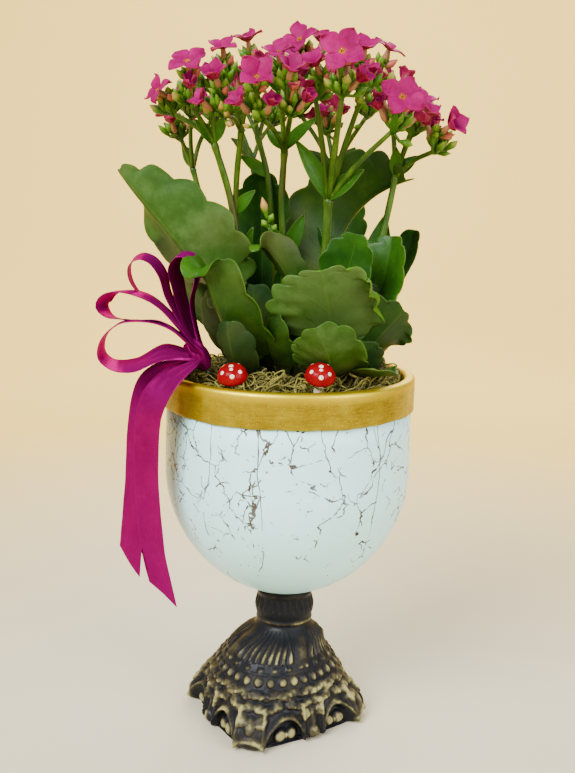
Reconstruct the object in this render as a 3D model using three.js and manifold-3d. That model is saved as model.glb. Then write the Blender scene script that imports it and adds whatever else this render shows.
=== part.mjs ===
// A kalanchoe in flower, planted in a white goblet pot with a gold lip on a cast scroll foot.
// Dry moss covers the soil, with two toadstools on picks and a satin ribbon bow.
// Millimetres, +Z up. The origin is the centre of the foot's flat underside.
// The front is -Y, and the bow hangs over the rim at the front left.

import * as THREE from "three";
import { mergeVertices } from "three/addons/utils/BufferGeometryUtils.js";
import Module from "manifold-3d";

const wasm = await Module();
wasm.setup();

// Driving dimensions
const clearance = 0.3; // between pieces that touch
const roomGrowth = 0.55; // how much a leaf's room is larger all round than the leaf
const potHeight = 203;
const bowl = {
  radius: 69.2,
  middle: 147, // height of its widest ring
  depth: 72.7,
  roundness: 2 / 1.9,
  shoulder: 183,
  neckRadius: 68.7,
  segments: 32,
};
const lip = { bottom: 184, radius: 70.2, round: 2.2 };
const hollow = { radius: 63.2, depth: 66, mouth: 64 };
const foot = {
  corners: 4,
  firstCorner: -13,
  columns: 64,
  stretch: 0.05, // how much longer it is from front to back, and shorter from side to side
  shift: [-4, -1], // of its base from the neck
};
const seat = { radius: 15.3, height: 75.9, floor: 73.9 }; // of the bowl, on the foot
const soilTop = 188;
const moss = {
  radius: 63,
  bottom: 40, // radius of its flat underside
  rings: [62.5, 50, 34, 16],
  edge: 199,
  crown: 193.5,
  columns: 18,
  strands: 5,
};
const leafThickness = 1.7;
const ribbon = { width: 19, thickness: 0.8 };

// Materials
function finish(color, roughness, metalness = 0) {
  return new THREE.MeshStandardMaterial({ color, roughness, metalness });
}
const whiteGlaze = finish(0xe6ecec, 0.25);
const castBrown = finish(0x2e2a28, 0.45, 0.3);
const soilBrown = finish(0x3a2a1e, 0.95);
const mossTan = finish(0x8a7a45, 0.95);
const leafGreen = finish(0x3f6b33, 0.4);
const stemGreen = finish(0x5c8a35, 0.45);
const petalPink = finish(0xe01a8c, 0.5);
const capRed = finish(0xc80f16, 0.15);
const stalkCream = finish(0xe8dcc0, 0.6);
const satinMagenta = finish(0xb01578, 0.35);
const wireGreen = finish(0x33402e, 0.5, 0.6);

// Small helpers
const vec = (values) => new THREE.Vector3(...values);
const radians = THREE.MathUtils.degToRad;
const mix = THREE.MathUtils.lerp;
const ease = (value, low, high) => THREE.MathUtils.smoothstep(value, low, high);

function seeded(seed) {
  let state = seed;
  return () => {
    state = (state * 1664525 + 1013904223) % 4294967296;
    return state / 4294967296;
  };
}

// A closed skin of numbered points and triangles, as a solid. A skin that faces inwards is turned round.
function solidOf(geometry) {
  geometry.deleteAttribute("normal");
  geometry.deleteAttribute("uv");
  const merged = mergeVertices(geometry, 1e-4);
  const place = merged.getAttribute("position");
  const index = merged.getIndex().array;
  const kept = [];
  let volume = 0;
  const [a, b, c] = [new THREE.Vector3(), new THREE.Vector3(), new THREE.Vector3()];
  for (let i = 0; i < index.length; i += 3) {
    const [p, q, r] = [index[i], index[i + 1], index[i + 2]];
    if (p === q || q === r || r === p) continue;
    kept.push([p, q, r]);
    a.fromBufferAttribute(place, p);
    b.fromBufferAttribute(place, q);
    c.fromBufferAttribute(place, r);
    volume += a.dot(b.cross(c));
  }
  const facing = volume < 0 ? kept.map(([p, q, r]) => [p, r, q]) : kept;
  const triVerts = new Uint32Array(facing.flat());
  const vertProperties = new Float32Array(place.array);
  return new wasm.Manifold(new wasm.Mesh({ numProp: 3, vertProperties, triVerts }));
}

function skin(points, faces) {
  const geometry = new THREE.BufferGeometry().setFromPoints(points);
  geometry.setIndex(faces.flat());
  return solidOf(geometry);
}

function fuse(solids) {
  return solids.reduce((all, next) => all.add(next));
}

// What is left of a solid after cuts, without loose scraps.
function largest(solid) {
  return solid.decompose().reduce((best, next) => (next.volume() > best.volume() ? next : best));
}

function meanOf(points) {
  return points.reduce((sum, point) => sum.add(point), new THREE.Vector3()).divideScalar(points.length);
}

// Rings of points joined into one closed skin, each end closed by a fan to its middle.
function loft(rings, firstMiddle = null, lastMiddle = null) {
  const sides = rings[0].length;
  const points = [...rings.flat(), firstMiddle ?? meanOf(rings[0]), lastMiddle ?? meanOf(rings.at(-1))];
  const start = rings.length * sides;
  const lastRow = start - sides;
  const faces = [];
  for (let side = 0; side < sides; side += 1) {
    const next = (side + 1) % sides;
    for (let row = 0; row < lastRow; row += sides) {
      faces.push([row + side, row + next, row + sides + next]);
      faces.push([row + side, row + sides + next, row + sides + side]);
    }
    faces.push([start, next, side]);
    faces.push([start + 1, lastRow + side, lastRow + next]);
  }
  return skin(points, faces);
}

// A round bar that follows a smooth curve through the points. Its radii are spaced evenly along it.
function bar(points, radii, sides, steps) {
  const curve = points.length === 2 ? new THREE.LineCurve3(...points) : new THREE.CatmullRomCurve3(points);
  const frames = curve.computeFrenetFrames(steps, false);
  const rings = frames.normals.map((normal, step) => {
    const centre = curve.getPointAt(step / steps);
    const place = (step / steps) * (radii.length - 1);
    const before = Math.min(Math.floor(place), radii.length - 2);
    const radius = mix(radii[before], radii[before + 1], place - before);
    return Array.from({ length: sides }, (_, side) => {
      const angle = (2 * Math.PI * side) / sides;
      return centre
        .clone()
        .addScaledVector(normal, radius * Math.cos(angle))
        .addScaledVector(frames.binormals[step], radius * Math.sin(angle));
    });
  });
  return loft(rings);
}

// Two faces of a blade from its middle surface, joined round the edge. rows[i][j] is a point.
function blade(rows, thickness) {
  const last = rows.length - 1;
  const side = rows[0].length - 1;
  const upper = [];
  const lower = [];
  rows.forEach((row, i) => {
    const before = rows[Math.max(i - 1, 0)];
    const after = rows[Math.min(i + 1, last)];
    row.forEach((point, j) => {
      const along = after[j].clone().sub(before[j]);
      const wide = i === last ? rows[last - 1] : row;
      const across = wide[Math.min(j + 1, side)].clone().sub(wide[Math.max(j - 1, 0)]);
      const normal = along.cross(across).normalize().multiplyScalar(thickness / 2);
      upper.push(point.clone().add(normal));
      lower.push(point.clone().sub(normal));
    });
  });
  const tip = rows[last].every((point) => point.distanceTo(rows[last][0]) < 1e-6);
  if (tip) {
    for (let j = 1; j <= side; j += 1) {
      upper[last * (side + 1) + j].copy(upper[last * (side + 1)]);
      lower[last * (side + 1) + j].copy(lower[last * (side + 1)]);
    }
  }
  const count = upper.length;
  const at = (i, j) => i * (side + 1) + j;
  const faces = [];
  const wall = (p, q) => faces.push([q, p, p + count], [q, p + count, q + count]);
  for (let i = 0; i < last; i += 1) {
    for (let j = 0; j < side; j += 1) {
      const [p, q, r, s] = [at(i, j), at(i, j + 1), at(i + 1, j + 1), at(i + 1, j)];
      const halves = 2 * j < side ? [[p, r, q], [p, s, r]] : [[p, s, q], [q, s, r]];
      faces.push(...halves, ...halves.map(([a, b, c]) => [a + count, c + count, b + count]));
    }
    wall(at(i, 0), at(i + 1, 0));
    wall(at(i + 1, side), at(i, side));
  }
  for (let j = 0; j < side; j += 1) {
    wall(at(0, j + 1), at(0, j));
    wall(at(last, j), at(last, j + 1));
  }
  return skin([...upper, ...lower], faces);
}

const object = new THREE.Group();

function piece(name, solid, material) {
  const { vertProperties, triVerts } = solid.getMesh();
  const geometry = new THREE.BufferGeometry();
  geometry.setAttribute("position", new THREE.BufferAttribute(vertProperties, 3));
  geometry.setIndex(new THREE.BufferAttribute(triVerts, 1));
  geometry.computeVertexNormals();
  const mesh = new THREE.Mesh(geometry, material);
  mesh.name = name;
  object.add(mesh);
}

// The bowl: a rounded cup below its widest ring, nearly straight above it, with a raised lip
function cupCurve(radius, middle, depth, steps) {
  return Array.from({ length: steps + 1 }, (_, step) => {
    const angle = (Math.PI / 2) * (1 - step / steps);
    const across = step === 0 ? 0 : radius * Math.cos(angle) ** bowl.roundness;
    return new THREE.Vector2(across, middle - depth * Math.sin(angle) ** bowl.roundness);
  });
}

function turned(profile, segments) {
  return solidOf(new THREE.LatheGeometry(profile, segments).rotateX(Math.PI / 2));
}

function makeBowl() {
  const outside = cupCurve(bowl.radius, bowl.middle, bowl.depth, 6);
  outside.push(new THREE.Vector2(bowl.neckRadius, bowl.shoulder));
  const rim = [
    new THREE.Vector2(lip.radius, lip.bottom),
    new THREE.Vector2(lip.radius, potHeight - lip.round),
    new THREE.Vector2(lip.radius - lip.round, potHeight),
    new THREE.Vector2(hollow.mouth + 1, potHeight),
    new THREE.Vector2(hollow.mouth, potHeight - lip.round),
  ];
  const inside = cupCurve(hollow.radius, bowl.middle, hollow.depth, 4).reverse();
  return turned([...outside, ...rim, ...inside], bowl.segments);
}

// The foot: four scroll corners and four posts between them, with eight arched recesses,
// a row of beads, a fan of flutes over each corner and a turned neck
const footRows = [
  // height, radius towards a corner, radius towards a post
  [0, 48.5, 41],
  [3, 52.5, 44],
  [9, 53, 43],
  [14, 50.5, 41.5],
  [18, 47, 40.5],
  [23, 42.5, 39],
  [29, 38.5, 36],
  [34, 34.8, 33.4],
  [40, 30.2, 30],
  [47, 24.4, 24.4],
  [52, 18.3, 18.3],
  [56.5, 15.4, 15.4],
  [64, 17, 17],
  [72, 15.4, 15.4],
];
const arch = { halfWidth: 14, height: 16, recess: 4.5, rim: 1.5, rimWidth: 0.16 };
const beads = { count: 32, height: 29, band: 3, relief: 1.5 };
const flutes = { width: 7.5, perCorner: 7, bottom: 33, top: 49, relief: 1.2 };

// Height of the carving above the foot's plain form, by azimuth in degrees and height.
function carving(azimuth, z) {
  const quarter = 360 / foot.corners;
  const turned = azimuth - foot.firstCorner + quarter / 2;
  const fromCorner = THREE.MathUtils.euclideanModulo(turned, quarter) - quarter / 2;
  const fromArch = Math.abs(Math.abs(fromCorner) - quarter / 4);
  const crown = Math.sqrt(Math.max(0, 1 - (fromArch / arch.halfWidth) ** 2)) * arch.height;
  const reach = fromArch < arch.halfWidth ? (z - crown) / arch.height : 1;
  const recessed = -arch.recess * (1 - ease(reach, -2 * arch.rimWidth, -arch.rimWidth / 2));
  const rimmed = arch.rim * ease(arch.rimWidth - Math.abs(reach), 0, arch.rimWidth);
  const bead = Math.cos(radians((azimuth - foot.firstCorner) * beads.count)) * beads.relief;
  const beaded = bead * ease(beads.band - Math.abs(z - beads.height), 0, beads.band);
  const inFan = Math.abs(fromCorner) < (flutes.width * flutes.perCorner) / 2 + 1;
  const flute = Math.cos(radians((fromCorner / flutes.width) * 360)) * flutes.relief;
  const fluted = inFan && z > flutes.bottom && z < flutes.top ? flute : 0;
  return recessed + rimmed + beaded + fluted;
}

function footPoint(azimuth, [z, corner, post]) {
  const phase = (1 + Math.cos(radians((azimuth - foot.firstCorner) * foot.corners))) / 2;
  const low = 1 - ease(z, 40, 54);
  const longer = 1 + foot.stretch * low * Math.cos(radians((azimuth - foot.firstCorner) * 2));
  const radius = mix(post, corner, phase ** 2) * longer + carving(azimuth, z);
  const x = radius * Math.sin(radians(azimuth)) + foot.shift[0] * low;
  const y = -radius * Math.cos(radians(azimuth)) + foot.shift[1] * low;
  return new THREE.Vector3(x, y, z);
}

function makeFoot() {
  const apart = 360 / foot.columns;
  const columns = Array.from({ length: foot.columns }, (_, i) => foot.firstCorner + i * apart);
  const rings = footRows.map((row) => columns.map((azimuth) => footPoint(azimuth, row)));
  rings.push(columns.map((azimuth) => footPoint(azimuth, [seat.height, seat.radius, seat.radius])));
  return loft(rings, vec([0, 0, 0]), vec([0, 0, seat.floor]));
}

// The flower stalks. Each one rises through its points to a fork, where it parts into branches,
// and each branch ends in a cluster of buds
const stalks = {
  a: {
    path: [[-20, -8, 168], [-20, -8, 196], [-25, -5, 242], [-34, -5, 297], [-43, -8, 327]],
    radius: [2.7, 1.7],
    clusters: [[-54, -22, 345], [-64, -12, 341], [-42, -14, 351]],
    bracts: [[-43, -8, 327, -52, -16, 338], [-43, -8, 327, -36, -12, 341]],
  },
  b: {
    path: [[-30, 25, 168], [-30, 25, 204], [-47, 33, 270], [-60, 38, 315]],
    radius: [2.5, 1.5],
    clusters: [[-66, 33, 330], [-50, 44, 341], [-58, 14, 342]],
    bracts: [[-60, 38, 315, -66, 42, 327]],
  },
  c: {
    path: [[-15, 6, 168], [-16, 5, 196], [-30, 1, 262], [-31, -4, 303], [-28, -12, 334]],
    radius: [2.4, 1.5],
    clusters: [[-35, -38, 339], [-23, -18, 354], [-36, -20, 355]],
    bracts: [[-31, -2, 290, -21, -8, 302]],
  },
  d: {
    path: [[-8, 16, 168], [-9, 16, 196], [-10, 14, 262], [-15, 13, 310], [-21, 13, 332]],
    radius: [2.4, 1.5],
    clusters: [[-23, 13, 353], [-31, 30, 350], [-8, 26, 361]],
    bracts: [[-15, 13, 310, -30, 10, 321]],
  },
  e: {
    path: [[-1, -5, 168], [-2, -4, 198], [-4, -6, 262], [-6, -8, 298], [-5, -10, 324]],
    radius: [2.5, 1.7],
    clusters: [[-15, -48, 337], [-1, -44, 340], [-8, -24, 353], [2, -16, 361]],
    bracts: [[-5, -10, 324, 11, -22, 340], [-5, -10, 324, -15, -6, 334]],
  },
  f: {
    path: [[18, -18, 168], [18, -18, 198], [18, -18, 262], [19, -20, 299]],
    radius: [3, 2.1],
    clusters: [[11, -33, 348], [24, -48, 349], [35, -27, 352], [50, -40, 333]],
    bracts: [[19, -20, 299, 2, -30, 328], [19, -20, 299, 36, -28, 314]],
  },
  g: {
    path: [[36, -10, 168], [37, -11, 198], [44, -8, 250], [55, -4, 312]],
    radius: [2.5, 1.6],
    clusters: [[62, -12, 333], [73, -22, 324], [50, 2, 353], [64, 14, 337]],
    bracts: [[55, -4, 312, 66, -8, 322], [55, -4, 312, 54, -10, 326]],
  },
  h: {
    path: [[15, 32, 168], [15, 33, 200], [20, 46, 280], [22, 50, 314]],
    radius: [2.6, 1.6],
    clusters: [[18, 56, 336], [40, 40, 345], [2, 56, 346], [26, 28, 359]],
    bracts: [[22, 50, 314, 34, 54, 328], [22, 50, 314, 8, 54, 326]],
  },
  i: {
    path: [[-14, 34, 168], [-15, 35, 200], [-22, 46, 290], [-26, 48, 320]],
    radius: [2.4, 1.5],
    clusters: [[-36, 54, 342], [-16, 60, 340]],
    bracts: [[-26, 48, 320, -38, 56, 332]],
  },
};
const budSize = { length: 8, radius: 1.8 };
const cluster = { core: 2.6, nearest: 13, furthest: 17, spread: 0.27 };

// Small leaves that belong to a stalk: from its base to its tip, with its greatest half width.
const stalkLeaves = {
  e: [[-3, -6, 266, 6, -12, 290, 4.5], [-3, -6, 266, -12, -14, 284, 4]],
  g: [[40, -10, 232, 52, 22, 292, 9]],
  c: [[-29, 2, 258, -22, -6, 282, 4]],
};

// The open blooms: throat, the way it faces, and petal length
const blooms = [
  { at: [-71, -20, 352], faces: [-0.65, -0.6, 0.45], petal: 9.5, stalk: "a" },
  { at: [-54, -35, 365], faces: [-0.15, -0.6, 0.8], petal: 11, stalk: "a" },
  { at: [-37, -25, 373], faces: [-0.1, -0.45, 0.9], petal: 9, stalk: "c" },
  { at: [-38, -50, 356], faces: [-0.25, -0.65, 0.7], petal: 10, stalk: "c" },
  { at: [-26, 0, 380], faces: [-0.2, -0.3, 0.95], petal: 9.5, stalk: "d" },
  { at: [-17, -66, 355], faces: [0.05, -0.85, 0.5], petal: 11.5, stalk: "e" },
  { at: [-1, -60, 359], faces: [0.2, -0.6, 0.75], petal: 9.5, stalk: "e" },
  { at: [-8, -36, 370], faces: [-0.1, -0.6, 0.8], petal: 9, stalk: "e" },
  { at: [2, -24, 378], faces: [-0.35, -0.65, 0.65], petal: 11, stalk: "e" },
  { at: [13, 6, 381], faces: [0.2, -0.35, 0.9], petal: 9.5, stalk: "h" },
  { at: [23, -70, 367], faces: [0.05, -0.92, 0.38], petal: 12, stalk: "f" },
  { at: [11, -47, 363], faces: [-0.4, -0.6, 0.7], petal: 9.5, stalk: "f" },
  { at: [35, -34, 373], faces: [0.1, -0.5, 0.85], petal: 9, stalk: "f" },
  { at: [49, 0, 377], faces: [0.4, -0.2, 0.9], petal: 9.5, stalk: "g" },
  { at: [53, -55, 348], faces: [0.15, -0.85, 0.5], petal: 12, stalk: "f" },
  { at: [67, -10, 350], faces: [0.35, -0.5, 0.8], petal: 9, stalk: "g" },
  { at: [79, -36, 336], faces: [0.6, -0.65, 0.45], petal: 10.5, stalk: "g" },
  { at: [-73, 42, 344], faces: [-0.6, 0.2, 0.75], petal: 9, stalk: "b" },
  { at: [20, 66, 352], faces: [0.1, 0.65, 0.75], petal: 10, stalk: "h" },
  { at: [-38, 62, 358], faces: [-0.3, 0.6, 0.75], petal: 10.5, stalk: "i" },
  { at: [50, 48, 358], faces: [0.5, 0.5, 0.7], petal: 10.5, stalk: "h" },
];
const bloomTube = { length: 7, radius: 1.5 };

function bloomBase(bloom, lift = 0) {
  return vec(bloom.at).addScaledVector(vec(bloom.faces).normalize(), lift - bloomTube.length);
}

// Four pointed petals round a tube. grown makes the same bloom larger all round, for cutting clear.
// Round the throat run a notch, a petal's near edge, its tip and its far edge, four times over.
const petalOutline = [
  // share of the petal's length, turn from its middle in degrees, lift as a share of its length
  [0.18, -45, 0.02],
  [0.66, -33, 0.14],
  [1, 0, 0.06],
  [0.66, 33, 0.14],
];

function makeBloom(bloom, turn, grown = 0) {
  const facing = vec(bloom.faces).normalize();
  const throat = vec(bloom.at);
  const across = new THREE.Vector3(0, 0, 1).cross(facing).normalize();
  const up = facing.clone().cross(across);
  const halfThickness = 0.4 + grown;
  const points = [throat.clone().addScaledVector(facing, halfThickness), bloomBase(bloom, -grown)];
  const faces = [];
  const count = 4 * petalOutline.length;
  for (let number = 0; number < count; number += 1) {
    const [share, swing, lift] = petalOutline[number % 4];
    const angle = turn + (Math.floor(number / 4) * Math.PI) / 2 + radians(swing);
    const out = across.clone().multiplyScalar(Math.cos(angle)).addScaledVector(up, Math.sin(angle));
    const rim = throat.clone().addScaledVector(out, share * bloom.petal + grown);
    rim.addScaledVector(facing, lift * bloom.petal);
    points.push(rim.clone().addScaledVector(facing, halfThickness));
    points.push(rim.addScaledVector(facing, -halfThickness));
    const here = 2 + 2 * number;
    const next = 2 + 2 * ((number + 1) % count);
    faces.push([here, here + 1, next], [next, here + 1, next + 1]);
  }
  for (let petal = 0; petal < 4; petal += 1) {
    const [notch, near, tip, far] = [0, 1, 2, 3].map((each) => 2 + 8 * petal + 2 * each);
    const nextNotch = 2 + 8 * ((petal + 1) % 4);
    for (const [a, b, c] of [[near, tip, far], [near, far, nextNotch], [near, nextNotch, notch]]) {
      faces.push([a, b, c], [a + 1, c + 1, b + 1]);
    }
    faces.push([0, notch, nextNotch], [1, nextNotch + 1, notch + 1]);
  }
  return skin(points, faces);
}

// A small smooth leaf or bract between two points, its upper face turned to the stalk above.
function makeBract(base, tip, halfWidth, thickness, grown = 0) {
  const along = tip.clone().sub(base);
  along.setLength(along.length() + grown);
  const side = along.clone().cross(new THREE.Vector3(0, 0, 1)).normalize();
  const sag = side.clone().cross(along).normalize().multiplyScalar(0.08 * along.length());
  const shape = [[0, 0.3, 0], [0.45, 1, 1], [1, 0, 0]];
  const rows = shape.map(([reach, width, lift]) =>
    [-1, 0, 1].map((sign) =>
      base
        .clone()
        .addScaledVector(along, reach)
        .addScaledVector(side, sign * width * (halfWidth + grown))
        .addScaledVector(sag, lift - 0.35 * Math.abs(sign)),
    ),
  );
  return blade(rows, thickness + 2 * grown);
}

const placed = []; // buds and blooms so far, as balls that later buds keep clear of

function keepsClear(centre, radius, owner) {
  const others = placed.filter((ball) => ball.owner !== owner);
  return others.every((ball) => ball.centre.distanceTo(centre) > ball.radius + radius);
}

// A cluster of buds: a small core with a bud raised from each of its faces that looks up or outwards,
// slender at its foot, widest past its middle and pointed. A bud that would touch another's is left out.
const budPlans = new Map();

function planBud(key, bud, way, heading, name) {
  if (!budPlans.has(key)) {
    const kept = way.dot(heading) > cluster.spread && keepsClear(bud, budSize.length / 2, name);
    if (kept) placed.push({ centre: bud, radius: budSize.length / 2 - 0.5, owner: name });
    budPlans.set(key, kept);
  }
  return budPlans.get(key);
}

function makeCluster(name, node, heading, random, grown) {
  const ball = new THREE.IcosahedronGeometry(cluster.core + grown, 0);
  const core = mergeVertices(ball.deleteAttribute("normal").deleteAttribute("uv"));
  const turn = new THREE.Quaternion().setFromUnitVectors(new THREE.Vector3(0, 0, 1), heading);
  core.rotateZ(6 * random()).applyQuaternion(turn).translate(...node);
  const place = core.getAttribute("position");
  const corner = (_, i) => new THREE.Vector3().fromBufferAttribute(place, i);
  const points = Array.from({ length: place.count }, corner);
  const index = core.getIndex().array;
  const faces = [];
  for (let i = 0; i < index.length; i += 3) {
    const face = [index[i], index[i + 1], index[i + 2]];
    const middle = meanOf(face.map((k) => points[k]));
    const way = middle.clone().sub(node).normalize();
    const reach = mix(cluster.nearest, cluster.furthest, random());
    const bud = node.clone().addScaledVector(way, reach - budSize.length / 2);
    if (!planBud([name, node.x, node.y, i].join(), bud, way, heading, name)) {
      faces.push(face);
      continue;
    }
    const ring = face.map((k) => {
      const out = points[k].clone().sub(middle).setLength(budSize.radius + grown);
      return points.push(out.add(node).addScaledVector(way, reach - 0.62 * budSize.length)) - 1;
    });
    const tip = points.push(node.clone().addScaledVector(way, reach + grown)) - 1;
    for (const [a, b] of [[0, 1], [1, 2], [2, 0]]) {
      faces.push([face[a], face[b], ring[b]], [face[a], ring[b], ring[a]], [ring[a], ring[b], tip]);
    }
  }
  return skin(points, faces);
}

function nearest(point, candidates) {
  return candidates.reduce((best, next) => (next.distanceTo(point) < best.distanceTo(point) ? next : best));
}

function makeStalk(name, grown = 0) {
  const stalk = stalks[name];
  const random = seeded(name.charCodeAt(0) * 977);
  const path = stalk.path.map(vec);
  const fork = path.at(-1);
  const rise = fork.clone().sub(path.at(-2)).normalize();
  const [low, high] = stalk.radius;
  const parts = [bar(path, [low + grown, high + grown], 6, 6)];
  const nodes = stalk.clusters.map(vec);
  for (const node of nodes) {
    const start = fork.clone().addScaledVector(rise, -2);
    const bend = fork.clone().lerp(node, 0.42).addScaledVector(rise, 3);
    parts.push(bar([start, bend, node], [high * 0.75 + grown, 1 + grown], 3, 2));
  }
  for (const bract of stalk.bracts) {
    parts.push(makeBract(vec(bract.slice(0, 3)), vec(bract.slice(3)), 3.2, 1, grown));
  }
  for (const leaf of stalkLeaves[name] ?? []) {
    parts.push(makeBract(vec(leaf.slice(0, 3)), vec(leaf.slice(3, 6)), leaf[6], 1.2, grown));
  }
  for (const bloom of blooms.filter((each) => each.stalk === name)) {
    const base = bloomBase(bloom, -clearance);
    const facing = vec(bloom.faces).normalize();
    const calyx = base.clone().addScaledVector(facing, -3.5);
    const radii = [0.9 + grown, 0.9 + grown, 2 + grown];
    parts.push(bar([nearest(base, nodes), calyx, base], radii, 3, 2));
  }
  for (const node of nodes) {
    const heading = node.clone().sub(fork).normalize().lerp(new THREE.Vector3(0, 0, 1), 0.45).normalize();
    parts.push(makeCluster(name, node, heading, random, grown));
  }
  return fuse(parts);
}

// The large leaves. Each spine runs from the stalk that carries it through its middle to its tip. faces is
// where its upper face looks, width its whole width, lobes the number along each margin, folds how far its
// left and right halves stand up from the spine in degrees, cup how far they bend on in radians, widest the
// share of the blade where it is widest, and taper how much its end narrows. Left is as seen from its back.
const leaves = [
  {
    name: "back_left_tall",
    spine: [[-23, -6, 226], [-50, -20, 262], [-91, -25, 311]],
    faces: [0.1, 1, 0.1],
    width: 70,
    lobes: 5,
    folds: [62, 4],
    cup: 0.25,
    widest: 0.42,
    taper: 0.6,
  },
  {
    name: "front_left",
    spine: [[-20, -8, 201], [-31, -42, 241], [-51, -48, 270]],
    faces: [0.4, 0.8, 0.4],
    width: 46,
    lobes: 5,
    folds: [60, 8],
    cup: 0.3,
    widest: 0.6,
  },
  {
    name: "left_low",
    spine: [[-31, 25, 208], [-46, 18, 234], [-64, 13, 263]],
    faces: [0.3, 0.8, 0.5],
    width: 42,
    lobes: 4,
    folds: [15, 15],
    cup: 0.4,
    widest: 0.55,
  },
  {
    name: "front_left_small",
    spine: [[-20, -9, 196], [-27, -40, 213], [-31, -50, 236]],
    faces: [0.2, 0.9, 0.3],
    width: 25,
    lobes: 4,
    folds: [30, 10],
    cup: 0.4,
    widest: 0.6,
  },
  {
    name: "front_middle_narrow",
    spine: [[-1, -5, 200], [-9, -32, 220], [-9, -42, 243]],
    faces: [0.9, 0.4, 0.2],
    width: 26,
    lobes: 4,
    folds: [30, 30],
    cup: 0.3,
    widest: 0.55,
  },
  {
    name: "front_broad",
    spine: [[18, -18, 208], [21, -43, 234], [16, -64, 264]],
    faces: [0, 0.75, 0.65],
    width: 62,
    lobes: 5,
    folds: [4, 12],
    cup: 0.25,
    widest: 0.5,
  },
  {
    name: "front_low",
    spine: [[18, -18, 200], [22, -50, 215], [14, -67, 236]],
    faces: [0, 0.7, 0.7],
    width: 40,
    lobes: 4,
    folds: [10, 10],
    cup: 0.2,
    widest: 0.5,
  },
  {
    name: "right_low",
    spine: [[37, -11, 204], [45, -28, 224], [60, -33, 242]],
    faces: [-0.3, 0.8, 0.5],
    width: 44,
    lobes: 5,
    folds: [10, 10],
    cup: 0.3,
    widest: 0.55,
  },
  {
    name: "right_lowest",
    spine: [[37, -12, 195], [44, -40, 208], [56, -53, 211]],
    faces: [-0.1, 0.3, 0.95],
    width: 22,
    lobes: 4,
    folds: [10, 10],
    cup: 0.3,
    widest: 0.55,
  },
  {
    name: "middle_upright",
    spine: [[18, -18, 228], [29, -26, 258], [34, -31, 281]],
    faces: [-0.3, -0.9, 0.3],
    width: 30,
    lobes: 4,
    folds: [10, 10],
    cup: 0.3,
    widest: 0.6,
  },
  {
    name: "right_upright",
    spine: [[40, -13.5, 214], [49, -14.5, 252], [54, -12.5, 279.5]],
    faces: [-0.5, -0.8, 0.2],
    width: 34,
    lobes: 5,
    folds: [20, 10],
    cup: 0.3,
    widest: 0.6,
  },
  {
    name: "right_back",
    spine: [[15, 33, 206], [56, 42, 250], [71, 44, 281]],
    faces: [-0.6, -0.7, 0.4],
    width: 30,
    lobes: 4,
    folds: [20, 20],
    cup: 0.3,
    widest: 0.6,
  },
  {
    name: "right_tall",
    spine: [[18, -15, 237], [29, 7, 284], [60, -7, 309]],
    faces: [-0.25, 0.9, 0.2],
    width: 74,
    lobes: 6,
    folds: [2, 62],
    cup: 0.25,
    widest: 0.5,
    taper: 0.35,
  },
  {
    name: "middle_back_tall",
    spine: [[-16, 5, 206], [-18, 22, 270], [-20, 16, 312]],
    faces: [0.1, -0.95, 0.2],
    width: 42,
    lobes: 5,
    folds: [15, 15],
    cup: 0.3,
    widest: 0.5,
  },
  {
    name: "middle_curled",
    spine: [[-2, -4, 232], [0, -22, 254], [-17, -28, 277]],
    faces: [0.3, 0.8, 0.5],
    width: 24,
    lobes: 4,
    folds: [30, 30],
    cup: 0.4,
    widest: 0.55,
  },
  {
    name: "rear_left",
    spine: [[-31, 25, 212], [-48, 50, 246], [-62, 64, 284]],
    faces: [0.5, -0.7, 0.4],
    width: 48,
    lobes: 5,
    folds: [12, 12],
    cup: 0.3,
    widest: 0.55,
  },
  {
    name: "rear_middle",
    spine: [[-15, 35, 204], [-10, 56, 236], [-6, 72, 270]],
    faces: [0, -0.8, 0.6],
    width: 50,
    lobes: 5,
    folds: [8, 12],
    cup: 0.3,
    widest: 0.55,
  },
  {
    name: "rear_right",
    spine: [[17, 36, 203], [32, 58.5, 228], [44, 70, 256.5]],
    faces: [-0.4, -0.7, 0.6],
    width: 46,
    lobes: 5,
    folds: [14, 8],
    cup: 0.3,
    widest: 0.55,
  },
  {
    name: "rear_low",
    spine: [[-15, 35, 198], [-34, 54, 212], [-44, 60, 232]],
    faces: [0.4, -0.6, 0.7],
    width: 36,
    lobes: 4,
    folds: [10, 10],
    cup: 0.3,
    widest: 0.55,
  },
  {
    name: "rear_tall",
    spine: [[16, 36, 230], [22, 62, 268], [30, 68, 304]],
    faces: [-0.1, -0.9, 0.4],
    width: 42,
    lobes: 5,
    folds: [10, 20],
    cup: 0.3,
    widest: 0.55,
  },
];
const lobeDepth = 0.08; // of the leaf's width
const petiole = { share: 0.2, halfWidth: 2.3 };

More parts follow.
